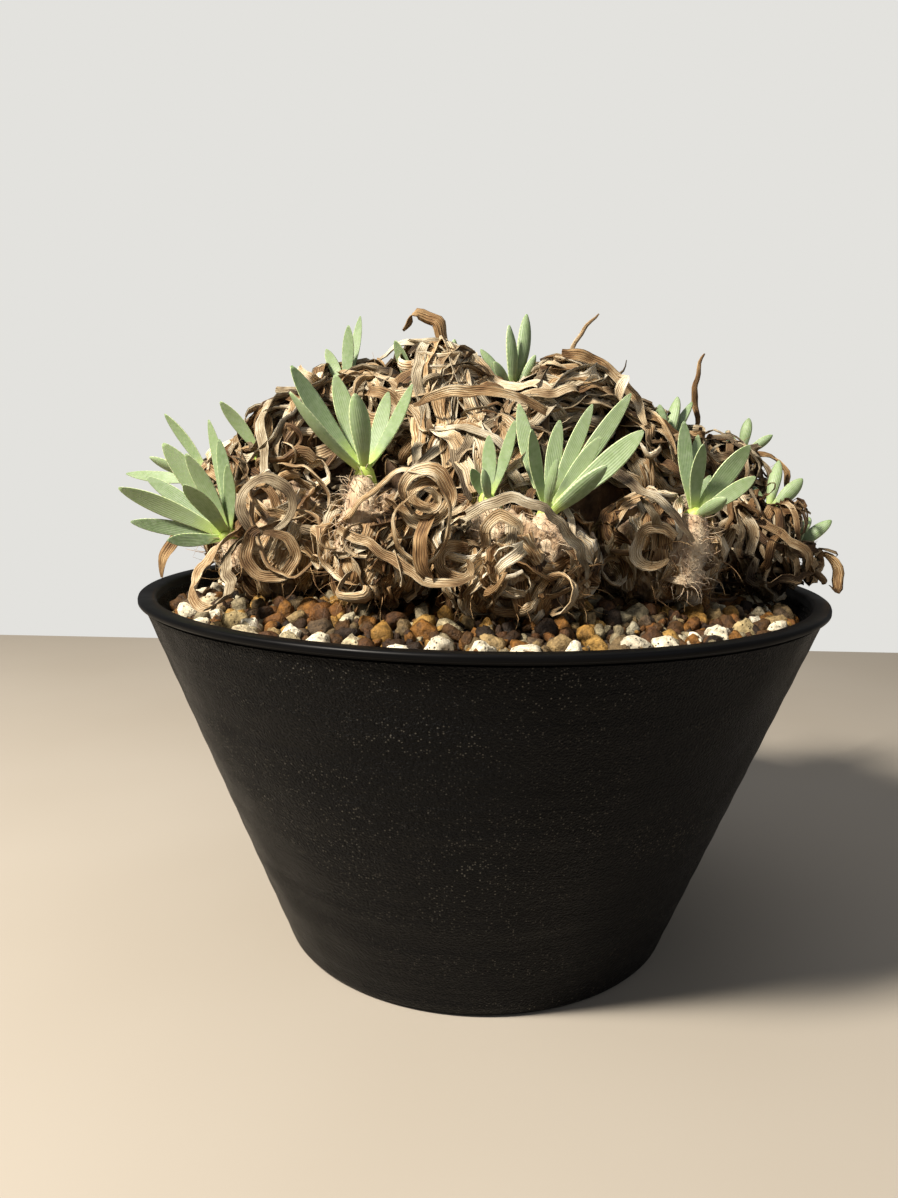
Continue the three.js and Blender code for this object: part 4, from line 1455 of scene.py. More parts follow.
LEAF_SPOTS = np.array([
    np.array(rosette.base) + np.array(leaf[:3]) * share + ahead * np.array((0.0, -1.0, 0.12))
    for head in HEADS for rosette in rosettes_of(head) for leaf in rosette.leaves
    for share in (0.12, 0.3, 0.45, 0.6, 0.75, 0.9, 1.0)
    for ahead in ((0, 3, 6, 9, 12) if isinstance(head.rosettes, tuple) and share > 0.4 else (0,))
])

NECK_SPOTS = np.array([
    np.array(rosette.neck[:3]) + (np.array(rosette.base) - np.array(rosette.neck[:3])) * share
    + np.array((0.0, -1.5, 0.0))
    for head in HEADS for rosette in rosettes_of(head) if rosette.neck
    for share in (0.35, 0.5, 0.65, 0.8, 0.95)
])


@dataclass
class Rosette:
    """The living leaves of one rosette and the short stem that carries them."""

    head: HeadPlan
    number: int
    plan: RosettePlan
    keel: float = 1.3
    bend: float = 0.06
    rings: int = 15
    corners: int = 12
    stem_radius: float = 1.9
    stem_sink: float = 4.0
    spread: float = 0.95
    front_share: float = 0.5

    @property
    def label(self) -> str:
        """The head's name, and the rosette's number from the second one on."""
        return self.head.name + (f"_{self.number + 1}" if self.number else "")

    def blade(self, leaf: tuple[float, float, float, float], axis: Array,
              draw: Random) -> Skin:
        """The skin of one leaf.

        Args:
            leaf: The leaf's tip from the rosette's base, and its width.
            axis: The way that the rosette faces.
            draw: The source of random numbers.

        Returns:
            Its skin.
        """
        reach = np.array(leaf[:3])
        length, width = float(np.linalg.norm(reach)), leaf[3] * self.spread
        heading = reach / length
        face = unit(axis - heading * np.dot(axis, heading))
        if isinstance(self.head.rosettes, tuple):
            front = unit(np.array(Studio.eye) - np.array(self.plan.base) - reach / 2)
            front = unit(front - heading * np.dot(front, heading))
            front = front if np.dot(front, face) > 0 else -front
            face = unit(face * (1 - self.front_share) + front * self.front_share)
        side = np.cross(heading, face)
        roll = draw.uniform(-0.12, 0.12)
        vertices, across, along, run = [], [], [], []
        angle = 2 * pi * np.arange(self.corners) / self.corners
        shares = 1 - (1 - np.linspace(0, 1, self.rings)) ** 1.25
        shares[-1] = 0.995
        for share in shares:
            grow = share / 0.62
            ease = grow * grow * (3 - 2 * grow) if grow < 1 else 1.0
            relative = 0.46 + 0.54 * ease
            if share > 0.6:
                relative *= max(0.04, 1 - ((share - 0.6) / 0.4) ** 2.2) ** 0.68
            half = width * relative / 2
            thick = self.keel * (0.42 + 0.58 * relative) * (1 - 0.45 * share)
            centre = np.array(self.plan.base) + reach * share
            centre = centre - face * self.bend * length * sin(pi * share)
            turn = roll * share * 3
            wide = side * cos(turn) + face * sin(turn)
            up = face * cos(turn) - side * sin(turn)
            for a in angle:
                x, y = cos(a), sin(a)
                lift = 0.1 * half * x * x
                lift += 0.14 * thick * y if y > 0 else 0.92 * thick * y * abs(y) ** 0.25
                vertices.append(centre + wide * half * x + up * lift)
                across.append(x)
                along.append(share)
                run.append(share * length)
        faces = [[*face[:1], *face[:0:-1]] for face in tube_faces(self.rings, self.corners)]
        tone = [draw.random()] * len(vertices)
        return vertices, faces, {"across": across, "along": along, "run": run, "tone": tone}

    def build(self) -> Object:
        """Joins the leaves and the stem in one mesh.

        Returns:
            The rosette.
        """
        name = f"living_leaves_{self.label}"
        draw = Random(name)
        base = np.array(self.plan.base)
        axis = unit(base - np.array(self.head.centre))
        vertices, faces = [], []
        values = {"across": [], "along": [], "run": [], "tone": []}
        for skin, sides, numbers in (*(self.blade(leaf, axis, draw) for leaf in self.plan.leaves),
                                     self.stem(base, axis)):
            faces += [[len(vertices) + k for k in side] for side in sides]
            vertices += skin
            for key, column in values.items():
                column += numbers[key]
        columns = {key: np.array(column) for key, column in values.items()}
        return new_object(name, skin_mesh(name, np.array(vertices), faces, columns))

    def stem(self, base: Array, axis: Array) -> Skin:
        """The short stem under the leaves.

        Args:
            base: Where the leaves meet.
            axis: The way that the rosette faces.

        Returns:
            Its skin.
        """
        side = unit(np.cross(axis, (0.3, 0.2, 1.0)))
        other = np.cross(axis, side)
        levels = ((-self.stem_sink, 1.0), (-1.5, 1.0), (0.0, 0.95), (1.2, 0.7), (1.9, 0.3))
        angles = 2 * pi * np.arange(self.corners) / self.corners
        vertices = [base + axis * rise + (side * cos(a) + other * sin(a))
                    * self.stem_radius * scale for rise, scale in levels for a in angles]
        plain = [0.0] * len(vertices)
        return vertices, tube_faces(len(levels), self.corners), {
            "across": plain, "along": plain, "run": plain, "tone": [0.6] * len(vertices)}

    def dress(self, piece: Object) -> Object:
        """Gives the leaves their green."""
        return settle(piece, [f"rosette_{self.label}"], LIVING_LEAF)


@dataclass
class Strap:
    """One dead leaf, ready to be swept.

    Attributes:
        points: The points along its middle.
        sides: The way that its width points at each of them.
        halves: Half its width at each of them.
        tone: How pale it is, from 0 to 1.
        weathering: Its colouring.
    """

    points: Array
    sides: Array
    halves: Array
    tone: float
    weathering: Weathering


@dataclass
class Surroundings:
    """What a dead leaf has to keep clear of."""

    mix: PottingMix
    ground_gap: float = 1.0
    lip_radius: float = 69.5
    lip_gap: float = 0.9
    neck_gap: float = 1.6
    box_margin: float = 1.5
    low: Array = field(default_factory=lambda: np.array(CAD_BOX[0]) / MM)
    high: Array = field(default_factory=lambda: np.array(CAD_BOX[1]) / MM)

    def clear(self, points: Array, distance: float) -> Array:
        """Which points stand clear of the living leaves, the mix, the lip and the box.

        Args:
            points: Points, one in each row.
            distance: The distance to keep from the middle of a living leaf.

        Returns:
            One truth value for each point.
        """
        gaps = np.linalg.norm(points[:, None, :] - LEAF_SPOTS[None, :, :], axis=2).min(axis=1)
        necks = np.linalg.norm(points[:, None, :] - NECK_SPOTS[None, :, :], axis=2).min(axis=1)
        gaps = np.minimum(gaps, necks - self.neck_gap)
        radius = np.hypot(points[:, 0], points[:, 1])
        ground = np.array([self.mix.height(r) + self.ground_gap for r in radius])
        ground = np.where(radius > self.lip_radius, self.mix.pot.height + self.lip_gap, ground)
        inside = np.all((points > self.low - self.box_margin)
                        & (points < self.high + self.box_margin), axis=1)
        return (gaps > distance) & (points[:, 2] > ground) & inside

    def longest_run(self, points: Array, distance: float) -> slice:
        """The longest stretch of a path that stands clear.

        Args:
            points: The path.
            distance: How far it keeps off.

        Returns:
            The part to keep.
        """
        good = self.clear(points, distance)
        best, start = slice(0, 0), None
        for k, fine in enumerate([*good.tolist(), False]):
            if fine and start is None:
                start = k
            elif not fine and start is not None:
                if k - start > best.stop - best.start:
                    best = slice(start, k)
                start = None
        return best


@dataclass(frozen=True)
class StrapSizes:
    """The sizes of a head's straps, in millimetres and in shares of the head's radius.

    Attributes:
        straps: How many straps wind round it.
        scales: How many short ribbed leaf bases hang on its front.
        widths: The narrowest, the usual and the widest strap.
        lengths: The shortest and the longest.
        rest: The lowest and highest share over the surface at which the outer ones lie.
        lift: The most that a strap bows up between its ends, as a share.
        curls: The smallest and largest radius of a curled end.
        curled: The share of outer straps with a curled end.
        crumple: How far a strap strays from its smooth route.
        core: The size of the leaf bases inside, as a share.
        weights: How often each weathering is drawn.
    """

    straps: int
    scales: int
    widths: Triple
    lengths: tuple[float, float]
    rest: tuple[float, float]
    lift: float
    curls: tuple[float, float]
    curled: float
    crumple: float
    core: float
    weights: tuple[float, float, float, float, float]


HABIT_SIZES = {
    Habit.FELTED: StrapSizes(32, 64, (1.3, 2.3, 3.1), (9, 24), (-0.02, 0.06), 0.1, (1.8, 4.0),
                             0.8, 0.6, 1.0, (0.46, 0.24, 0.14, 0.1, 0.06)),
    Habit.SHAGGY: StrapSizes(72, 0, (1.4, 2.5, 3.7), (16, 42), (-0.13, 0.03), 0.1, (1.8, 4.0),
                             0.4, 1.1, 0.78, (0.22, 0.2, 0.42, 0.06, 0.1)),
    # WIRY heads draw DARKENED straps most often: their own dark brown, and painted shade on the
    # heads at the right and back, away from the key light.
    Habit.WIRY: StrapSizes(80, 0, (1.0, 1.7, 2.6), (14, 36), (-0.14, 0.05), 0.16, (1.5, 3.2),
                           0.5, 1.5, 0.78, (0.03, 0.12, 0.2, 0.2, 0.45)),
}


def crumpled(points: Array, amount: float, draw: Random) -> Array:
    """A path with the small bends that drying gives a leaf.

    Args:
        points: The smooth path.
        amount: How far it may stray, in millimetres.
        draw: The source of random numbers.

    Returns:
        The crumpled path.
    """
    count = np.arange(len(points))[:, None]
    shift = np.zeros_like(points)
    for wave in (4.7, 8.0, 14.0):
        phase = np.array([draw.uniform(0, 2 * pi) for _ in range(3)])
        size = np.array([draw.uniform(0.1, 0.5) for _ in range(3)]) * amount
        shift += size * np.sin(2 * pi * count / wave + phase)
    return points + shift


@dataclass
class DeadLeaves:
    """The dead leaves of one head: straps wound round it, and the matted bases inside."""

    head: HeadPlan
    around: Surroundings
    step: float = 1.6
    hollow: float = 4.5
    inner_share: float = 0.35
    tilts: tuple[float, float] = (12, 118)
    most_sweep: float = 4.8
    scale_widths: tuple[float, float] = (2.8, 5.4)
    scale_weights: tuple[float, ...] = (0.35, 0.3, 0.05, 0.3, 0.0)

    @property
    def sizes(self) -> StrapSizes:
        """The sizes of the head's habit."""
        return HABIT_SIZES[self.head.habit]

    def over(self, axis: Array, tilt: float, around: float, height: float) -> Array:
        """A point over the head's surface.

        Args:
            axis: The axis that the straps wind round.
            tilt: The angle from that axis.
            around: The turn round it.
            height: The height over the surface as a share of the radius.

        Returns:
            The point.
        """
        side = turned(unit(np.cross((0.0, 0.0, 1.0), axis)), axis, around)
        spoke = turned(axis, side, tilt) * np.array(self.head.radius)
        return np.array(self.head.centre) + spoke * (1 + height)

    def settled(self, point: Array) -> Array:
        """The point, moved towards the head's middle until it stands clear.

        Args:
            point: The point.

        Returns:
            Where it comes to lie.
        """
        centre = np.array(self.head.centre, float)
        places = centre + (point - centre) * np.array((1, 0.93, 0.86, 0.79, 0.72))[:, None]
        good = self.around.clear(places, self.sizes.widths[2] / 2 + 0.6)
        return places[int(np.argmax(good))] if good.any() else places[-1]

    def outward(self, points: Array) -> Array:
        """The head's outward direction at points near its surface."""
        return unit((points - np.array(self.head.centre)) / np.array(self.head.radius, float) ** 2)

    def curl(self, point: Array, heading: Array, side: Array,
             draw: Random) -> tuple[Array, Array]:
        """The curled end of a strap, rolled up like a tape.

        Args:
            point: Where it starts.
            heading: The strap's direction there.
            side: The way that its width points.
            draw: The source of random numbers.

        Returns:
            The points and the sides of the curl.
        """
        sense = -1.0 if draw.random() < 0.7 else 1.0
        radius = draw.uniform(*self.sizes.curls)
        total = draw.uniform(2.2, 6.4)
        drift = draw.uniform(-0.25, 0.25)
        stride = min(self.step, 0.45 * radius)
        points, sides, swept = [], [], 0.0
        while swept < total and len(points) < 24:
            angle = stride / radius
            heading = turned(heading, side, sense * angle)
            side = unit(turned(side, heading, draw.uniform(-0.08, 0.08)))
            heading = unit(heading - side * np.dot(side, heading))
            point = point + (heading + side * drift) * stride
            points.append(point)
            sides.append(side)
            swept += angle
            radius = max(1.5, radius * 0.97)
        return np.array(points), np.array(sides)

    def wind(self, axis: Array, sense: float, outer: bool, draw: Random) -> Strap | None:
        """Winds one strap round the head.

        Args:
            axis: The axis to wind round.
            sense: Plus or minus one, for the way round.
            outer: Whether it lies on top of the others and may curl away.
            draw: The source of random numbers.

        Returns:
            The strap, or nothing where it has no room.
        """
        sizes = self.sizes
        radius = sum(self.head.radius) / 3
        axis = unit(axis + [draw.gauss(0, 0.35) for _ in range(3)])
        tilt = radians(draw.uniform(*self.tilts))
        length = draw.uniform(*sizes.lengths)
        sweep = min(self.most_sweep, length / (radius * max(0.3, sin(tilt))))
        start = draw.uniform(0, 2 * pi)
        drift = draw.uniform(-0.6, 0.6)
        rest = draw.uniform(*sizes.rest) if outer else draw.uniform(-0.14, sizes.rest[0])
        lift = draw.uniform(0.0, sizes.lift) if outer else 0.0
        stops = [(-0.2, -0.5), (0.0, rest - 0.1), (0.2, rest), (0.4, rest + lift),
                 (0.6, rest + lift), (0.8, rest + 0.4 * lift), (1.0, rest)]
        if not outer or draw.random() < 0.35:
            stops[-1] = (1.0, rest - 0.25)
        route = np.array([
            self.settled(self.over(axis, tilt + drift * share + draw.uniform(-0.1, 0.1),
                                   start + sense * sweep * share, height))
            for share, height in stops])
        points = smooth_path(route, self.step)
        sides = unit(np.cross(self.outward(points), headings(points)))
        if outer and draw.random() < sizes.curled:
            ahead, last = headings(points)[-1], sides[-1]
            if draw.random() < 0.55:
                away = self.outward(points[-1])
                last = unit(away - ahead * np.dot(away, ahead)) * draw.choice((-1.0, 1.0))
                ease = np.linspace(0, 1, min(6, len(sides)))[:, None]
                sides[-len(ease):] = unit(sides[-len(ease):] * (1 - ease) + last * ease)
            more, more_sides = self.curl(points[-1], ahead, last, draw)
            points, sides = np.vstack([points, more]), np.vstack([sides, more_sides])
        points = crumpled(points, sizes.crumple, draw)
        low, usual, high = sizes.widths
        return self.finished(points, sides, draw, draw.triangular(low, high, usual),
                             draw.choices(list(Weathering), sizes.weights)[0],
                             1.3 if draw.random() < 0.25 else 0.4)

    def finished(self, points: Array, sides: Array, draw: Random, width: float,
                 weathering: Weathering, turn: float) -> Strap | None:
        """Cuts a strap to its room, twists it and tapers it.

        Args:
            points: Points along its middle.
            sides: The way that its width points.
            draw: The source of random numbers.
            width: Its full width.
            weathering: Its colouring.
            turn: The most that its flat may lean, in radians.

        Returns:
            The strap, or nothing where too little of it is left.
        """
        room = self.around.longest_run(points, width / 2 + 0.5)
        points, sides = points[room], sides[room]
        if len(points) < 5:
            return None
        share = np.linspace(0, 1, len(points))
        wring = 3.4 if draw.random() < 0.2 else 1.0
        lean = draw.uniform(-turn, turn) + draw.uniform(-wring, wring) * share
        lean = lean + 0.45 * np.sin(share * draw.uniform(4, 16) + draw.uniform(0, 6))
        sides = unit(turned(sides, headings(points), lean))
        if draw.random() < 0.4:
            sides = -sides
        narrow = np.minimum(1, 0.72 + 1.4 * share) * (1 - 0.75 * share ** draw.uniform(2, 9))
        narrow = narrow * (1 + 0.12 * np.sin(share * draw.uniform(9, 24)))
        return Strap(points, sides, width * narrow / 2, draw.random(), weathering)

    def leaf_scale(self, draw: Random) -> Strap | None:
        """One short ribbed leaf base that hangs on the front of the lobe.

        Args:
            draw: Random numbers.

        Returns:
            The leaf base, or None if it has no room.
        """
        radius = sum(self.head.radius) / 3
        turn = draw.uniform(-2.0, 2.0)
        tilt = radians(draw.uniform(35, 118))
        sweep = draw.uniform(6, 12) / radius
        drift = draw.uniform(-0.5, 0.5)
        flare = draw.uniform(-0.12, 0.2)
        route = []
        for share, height in ((0, -0.2), (0.3, -0.02), (0.6, 0.05), (0.85, 0.02), (1, flare)):
            down, side = tilt + sweep * share, turn + drift * share
            spoke = np.array((sin(down) * sin(side), -sin(down) * cos(side),
                              cos(down))) * np.array(self.head.radius)
            route.append(np.array(self.head.centre) + spoke * (1 + height))
        points = crumpled(smooth_path(np.array(route), 1.4), 0.3, draw)
        sides = -unit(np.cross(self.outward(points), headings(points)))
        weathering = draw.choices(list(Weathering), self.scale_weights)[0]
        return self.finished(points, sides, draw, draw.uniform(*self.scale_widths), weathering,
                             0.25)

    def loose(self, strap: LooseStrap, draw: Random) -> Strap | None:
        """Makes a strap that the table gives.

        Args:
            strap: The table's entry.
            draw: The source of random numbers.

        Returns:
            The strap.
        """
        points = smooth_path(np.array(strap.route, float), self.step * 0.7)
        points = crumpled(points, 0.45, draw)
        ahead, towards = headings(points), np.array(strap.towards, float)
        if strap.lay is Lay.EDGE:
            sides = unit(towards - ahead * (ahead @ towards)[:, None])
        else:
            sides = unit(np.cross(towards, ahead))
        share = np.linspace(0, 1, len(points))
        lean = draw.uniform(-0.3, 0.3) * share + 0.25 * np.sin(share * draw.uniform(5, 12))
        sides = unit(turned(sides, ahead, lean))
        narrow = np.minimum(1, 0.8 + share) * (1 - 0.7 * share**6)
        narrow = narrow * (1 + 0.08 * np.sin(share * draw.uniform(9, 20)))
        return Strap(points, sides, strap.width * narrow / 2, draw.uniform(0.25, 0.7),
                     strap.weathering)

    def straps_of_head(self) -> list[Strap]:
        """All straps of the head, from the inner ones to the loose ones.

        Returns:
            The straps.
        """
        draw = Random(f"straps {self.head.name}")
        axes = []
        for _ in range(3):
            lean = np.array([draw.uniform(-0.6, 0.6) for _ in range(3)])
            axes.append(unit(head_axis(self.head) + lean))
        grown = []
        for k in range(self.sizes.straps):
            outer = k >= self.inner_share * self.sizes.straps
            sense = 1.0 if k % 3 else -1.0
            grown.append(self.wind(axes[k % 3], sense, outer, draw))
        grown += [self.leaf_scale(draw) for _ in range(self.sizes.scales)]
        grown += [self.loose(strap, draw) for strap in LOOSE_STRAPS if strap.head == self.head.name]
        return [strap for strap in grown if strap is not None]

    def build_core(self) -> Object:
        """The matted leaf bases that the straps stand out of.

        Returns:
            The core.
        """
        name = f"leaf_bases_{self.head.name}"
        shape = bmesh.new()
        felted = self.head.habit is Habit.FELTED
        bmesh.ops.create_icosphere(shape, subdivisions=5 if felted else 4, radius=1.0)
        centre = Vector(self.head.centre)
        for vertex in shape.verts:
            spoke = vertex.co.copy()
            grain = Vector((spoke.x * 3, spoke.y * 3, spoke.z * 1.2)) * 1.7 + centre
            dent = 0.24 * abs(noise.noise(grain)) + 0.1 * abs(noise.noise(grain * 3.1))
            scale = self.sizes.core * (1 + 0.16 * noise.noise(spoke * 1.6 + centre) - dent)
            spot = Vector(a * b for a, b in zip(spoke, self.head.radius)) * scale
            gap = float(np.linalg.norm(LEAF_SPOTS - np.array(spot + centre), axis=1).min())
            spot *= 1 - 0.4 * max(0.0, 1 - gap / self.hollow)
            vertex.co = (spot + centre) * MM
        mesh = mesh_of(shape, name)
        mesh.shade_smooth()
        mesh.materials.append((LEAF_FELT if felted else LEAF_BASES).material())
        return new_object(name, mesh)

    def build_straps(self, sweep: StrapSweep) -> Object:
        """Sweeps all straps of the head as one piece."""
        return swept_straps(f"dried_straps_{self.head.name}", self.straps_of_head(), sweep)

    def dress(self, pieces: Sequence[Object]) -> None:
        """Ties the head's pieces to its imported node."""
        for piece in pieces:
            settle(piece, [f"dead_leaves_{self.head.name}"])


def swept_straps(name: str, straps: Sequence[Strap], sweep: StrapSweep) -> Object:
    """Turns straps into one plain mesh.

    Args:
        name: The piece's name.
        straps: The straps.
        sweep: The sweep recipe.

    Returns:
        The piece.
    """
    points = np.vstack([s.points for s in straps])
    edges, start = [], 0
    for strap in straps:
        edges += [(start + k, start + k + 1) for k in range(len(strap.points) - 1)]
        start += len(strap.points)
    mesh = bpy.data.meshes.new(name)
    mesh.from_pydata((points * MM).tolist(), edges, [])
    runs = [np.r_[0, np.cumsum(np.linalg.norm(np.diff(s.points, axis=0), axis=1))] for s in straps]
    counts = [len(s.points) for s in straps]
    columns = {
        "side": np.vstack([s.sides for s in straps]),
        "half": np.concatenate([s.halves * MM for s in straps]),
        "run": np.concatenate(runs),
        "tone": np.repeat([s.tone + s.weathering.value[2] for s in straps], counts),
        "grey": np.repeat([s.weathering.value[0] for s in straps], counts),
        "russet": np.repeat([s.weathering.value[1] for s in straps], counts),
    }
    for key, numbers in columns.items():
        add_attribute(mesh, key, numbers)
    piece = new_object(name, mesh)
    made = sweep.apply(piece, {**sweep.sizes, "Material": DEAD_LEAF.material()})
    for key in ("side", "half"):
        made.attributes.remove(made.attributes[key])
    return piece


@dataclass
class MoundStraps:
    """Long straps that run over several heads and close the gaps between them."""

    around: Surroundings
    tries: int = 1100
    most: int = 120
    step: float = 1.6
    smooth_over: int = 9
    lengths: tuple[float, float] = (24, 58)
    widths: Triple = (1.4, 3.8, 2.6)
    least_reach: float = 25.0
    fewest: int = 8
    gap: float = 2.2
    crumple: float = 0.8
    weights: tuple[float, ...] = (0.14, 0.16, 0.42, 0.1, 0.18)

    def reach(self, spokes: Array) -> Array:
        """How far the heads reach from the middle of the dome in given directions.

        Args:
            spokes: Unit directions, one in each row.

        Returns:
            The distances.
        """
        far = np.zeros(len(spokes))
        for head in HEADS:
            scale = np.array(head.radius, float)
            origin = (DOME_CENTRE - np.array(head.centre)) / scale
            ahead = spokes / scale
            a = np.sum(ahead * ahead, axis=1)
            b = ahead @ origin
            c = float(origin @ origin) - 1
            root = b * b - a * c
            far = np.maximum(far, np.where(root > 0, (-b + np.sqrt(np.maximum(root, 0))) / a, 0))
        return far

    def lay(self, draw: Random) -> Strap | None:
        """Lays one strap over the mound.

        Args:
            draw: Random numbers.

        Returns:
            The strap, or None if it has no room.
        """
        turn = draw.uniform(0, 2 * pi)
        rise = radians(draw.uniform(30 if sin(turn) < 0.1 else 4, 88))
        spoke = np.array((cos(turn) * cos(rise), sin(turn) * cos(rise),
                          sin(rise)))
        across = unit(np.cross(spoke, [draw.gauss(0, 1) for _ in range(3)]))
        count = int(draw.uniform(*self.lengths) / self.step)
        turn = self.step / max(30.0, float(self.reach(spoke[None])[0]))
        spokes = [spoke]
        for _ in range(count):
            across = unit(turned(across, spoke, draw.uniform(-0.05, 0.06)))
            spoke = unit(turned(spoke, across, turn))
            spokes.append(spoke)
        rays = np.array(spokes)
        far = self.reach(rays)
        if far.min() < self.least_reach:
            return None
        window = np.ones(self.smooth_over) / self.smooth_over
        padded = np.pad(far, self.smooth_over // 2, mode="edge")
        soft = np.convolve(padded, window, mode="valid")
        level = np.maximum(soft, far) + draw.uniform(-0.6, 1.2)
        level = np.convolve(np.pad(level, 2, mode="edge"), np.ones(5) / 5, mode="valid")
        points = crumpled(DOME_CENTRE + rays * level[:, None], self.crumple, draw)
        room = self.around.longest_run(points, self.gap)
        points, rays = points[room], rays[room]
        if len(points) < self.fewest:
            return None
        share = np.linspace(0, 1, len(points))
        ahead = headings(points)
        sides = unit(np.cross(rays, ahead))
        lean = draw.uniform(-0.4, 0.4) + draw.uniform(-0.8, 0.8) * share
        sides = unit(turned(sides, ahead, lean))
        width = draw.triangular(*self.widths)
        narrow = np.minimum(1, 0.6 + 2 * share) * (1 - 0.7 * share ** draw.uniform(3, 8))
        weathering = draw.choices(list(Weathering), self.weights)[0]
        return Strap(points, sides, width * narrow / 2, draw.random(), weathering)

    def build(self, sweep: StrapSweep) -> Object:
        """Sweeps the long straps as one piece.

        Args:
            sweep: What sweeps the blades.

        Returns:
            The piece.
        """
        draw = Random("mound")
        laid = [self.lay(draw) for _ in range(self.tries)]
        kept = [strap for strap in laid if strap is not None][:self.most]
        return swept_straps("dried_straps_mound", kept, sweep)

    def dress(self, piece: Object) -> Object:
        """Ties the straps to the heads that they lie on."""
        return settle(piece, [f"dead_leaves_{head.name}" for head in HEADS])


@dataclass
class Fringe:
    """Fine torn fibres and wool that stand out of the leaf bases."""

    hair: float = 0.11
    hair_kinds: int = 6
    torn_length: float = 6.0
    torn_bend: float = 0.8
    torn_spacing: float = 1.7
    wool_length: float = 2.6
    wool_bend: float = 1.0
    wool_spacing: float = 0.7

    def hair_shapes(self, name: str, length: float, bend: float) -> Collection:
        """Curved tapering hairs.

        Args:
            name: The name of their collection.
            length: Their length in millimetres.
            bend: How far their tips lie to the side, as a share of the length.

        Returns:
            The collection.
        """
        draw = Random(name)
        meshes = []
        for k in range(self.hair_kinds):
            vertices = []
            sway, wave = draw.uniform(0.4, 1.0) * bend, draw.uniform(-0.25, 0.25)
            for share in (0.0, 0.2, 0.4, 0.6, 0.8, 1.0):
                radius = self.hair * (1 - 0.75 * share)
                middle = (length * sway * share**2, length * wave * sin(2.6 * share),
                          length * share * (1 - 0.25 * sway * share))
                vertices += [(middle[0] + radius * cos(a), middle[1] + radius * sin(a),
                              middle[2]) for a in (0.0, 2.094, 4.189)]
            meshes.append(skin_mesh(f"{name}_{k}", np.array(vertices), tube_faces(6, 3)))
        return shape_collection(name, meshes)

    def build(self, name: str, surface: Mesh, share: Array,
              shapes: Collection, scatter: Scatter, finish: Finish,
              spacing: float, seed: int) -> Object:
        """Scatters hairs over a copy of a surface.

        Args:
            name: The piece's name.
            surface: The surface.
            share: The density on each of its vertices, from 0 to 1.
            shapes: The hairs.
            scatter: The scatter recipe.
            finish: The hairs' material.
            spacing: The distance between hairs in millimetres.
            seed: A whole number.

        Returns:
            The hairs.
        """
        ground = surface.copy()
        add_attribute(ground, "share", share)
        piece = new_object(name, ground)
        scatter.apply(piece, {
            "Spacing": spacing * MM, "Density": 2e6, "Smallest": 0.5, "Largest": 1.3,
            "Lean": 0.75, "Seed": seed, "Shapes": shapes, "Material": finish.material()})
        return piece


@dataclass
class WoollyNeck:
    """The felted neck under a rosette that stands free of the dead leaves."""

    plan: RosettePlan
    name: str
    rings: int = 22
    corners: int = 28

    def build(self) -> Object:
        """A tapering, lumpy column from the neck's foot to the rosette's base.

        Returns:
            The column.
        """
        foot = np.array(self.plan.neck[:3], float)
        top = np.array(self.plan.base, float)
        axis = unit(top - foot)
        side = unit(np.cross(axis, (0.2, 1.0, 0.1)))
        other = np.cross(axis, side)
        vertices = []
        for share in np.linspace(0, 1, self.rings):
            low, high = self.plan.neck[3:]
            radius = low + (high - low) * share**1.3
            if share > 0.93:
                radius *= 1 - 3 * (share - 0.93)
            middle = foot + (top - foot) * share
            for a in 2 * pi * np.arange(self.corners) / self.corners:
                spoke = side * cos(a) + other * sin(a)
                spot = Vector(middle + spoke * radius)
                lump = 0.5 * noise.noise(spot * 0.45) + 0.28 * noise.noise(spot * 1.3)
                vertices.append(middle + spoke * (radius * (1 + 0.34 * lump)))
        mesh = skin_mesh(self.name, np.array(vertices), tube_faces(self.rings, self.corners))
        mesh.materials.append(AXIL_WOOL.material())
        return new_object(self.name, mesh)

    def dress(self, piece: Object, head: HeadPlan) -> Object:
        """Ties the neck to its head."""
        return settle(piece, [f"dead_leaves_{head.name}"])


@dataclass
class Clump:
    """All heads of the plant with everything that grows on them."""

    mix: PottingMix
    fringe: Fringe = field(default_factory=Fringe)

    def build_and_dress(self) -> None:
        """Builds head by head: leaf bases, straps, fibres, necks and living leaves."""
        around = Surroundings(self.mix)
        sweep = StrapSweep()
        hairs = Scatter("hair_scatter", stands_up=True)
        fringe = self.fringe
        torn = fringe.hair_shapes("torn_fibre", fringe.torn_length, fringe.torn_bend)
        wool = fringe.hair_shapes("wool_hair", fringe.wool_length, fringe.wool_bend)
        for index, head in enumerate(HEADS):
            leaves = DeadLeaves(head, around)
            core = leaves.build_core()
            pieces = [core, leaves.build_straps(sweep)]
            heights = np.array([v.co.z for v in core.data.vertices]) / MM
            low = np.clip((head.centre[2] + 2 - heights) / 8, 0, 1)
            ground = np.array([self.mix.height(hypot(v.co.x, v.co.y) / MM)
                               for v in core.data.vertices])
            share = np.where(heights > ground + 1.5, low * 0.9 + 0.06, 0.0)
            pieces.append(fringe.build(f"torn_fibres_{head.name}", core.data, share, torn, hairs,
                                       TORN_FIBRE, fringe.torn_spacing, index + 1))
            leaves.dress(pieces)
            for number, plan in enumerate(rosettes_of(head)):
                rosette = Rosette(head, number, plan)
                rosette.dress(rosette.build())
                if plan.neck:
                    neck = WoollyNeck(plan, f"woolly_neck_{head.name}_{number + 1}")
                    column = neck.build()
                    full = np.ones(len(column.data.vertices))
                    felt = fringe.build(f"wool_hairs_{head.name}_{number + 1}", column.data, full,
                                        wool, hairs, AXIL_WOOL, fringe.wool_spacing, index + 60)
                    neck.dress(column, head)
                    neck.dress(felt, head)
        mound = MoundStraps(around)
        mound.dress(mound.build(sweep))


# ---- Stage ----


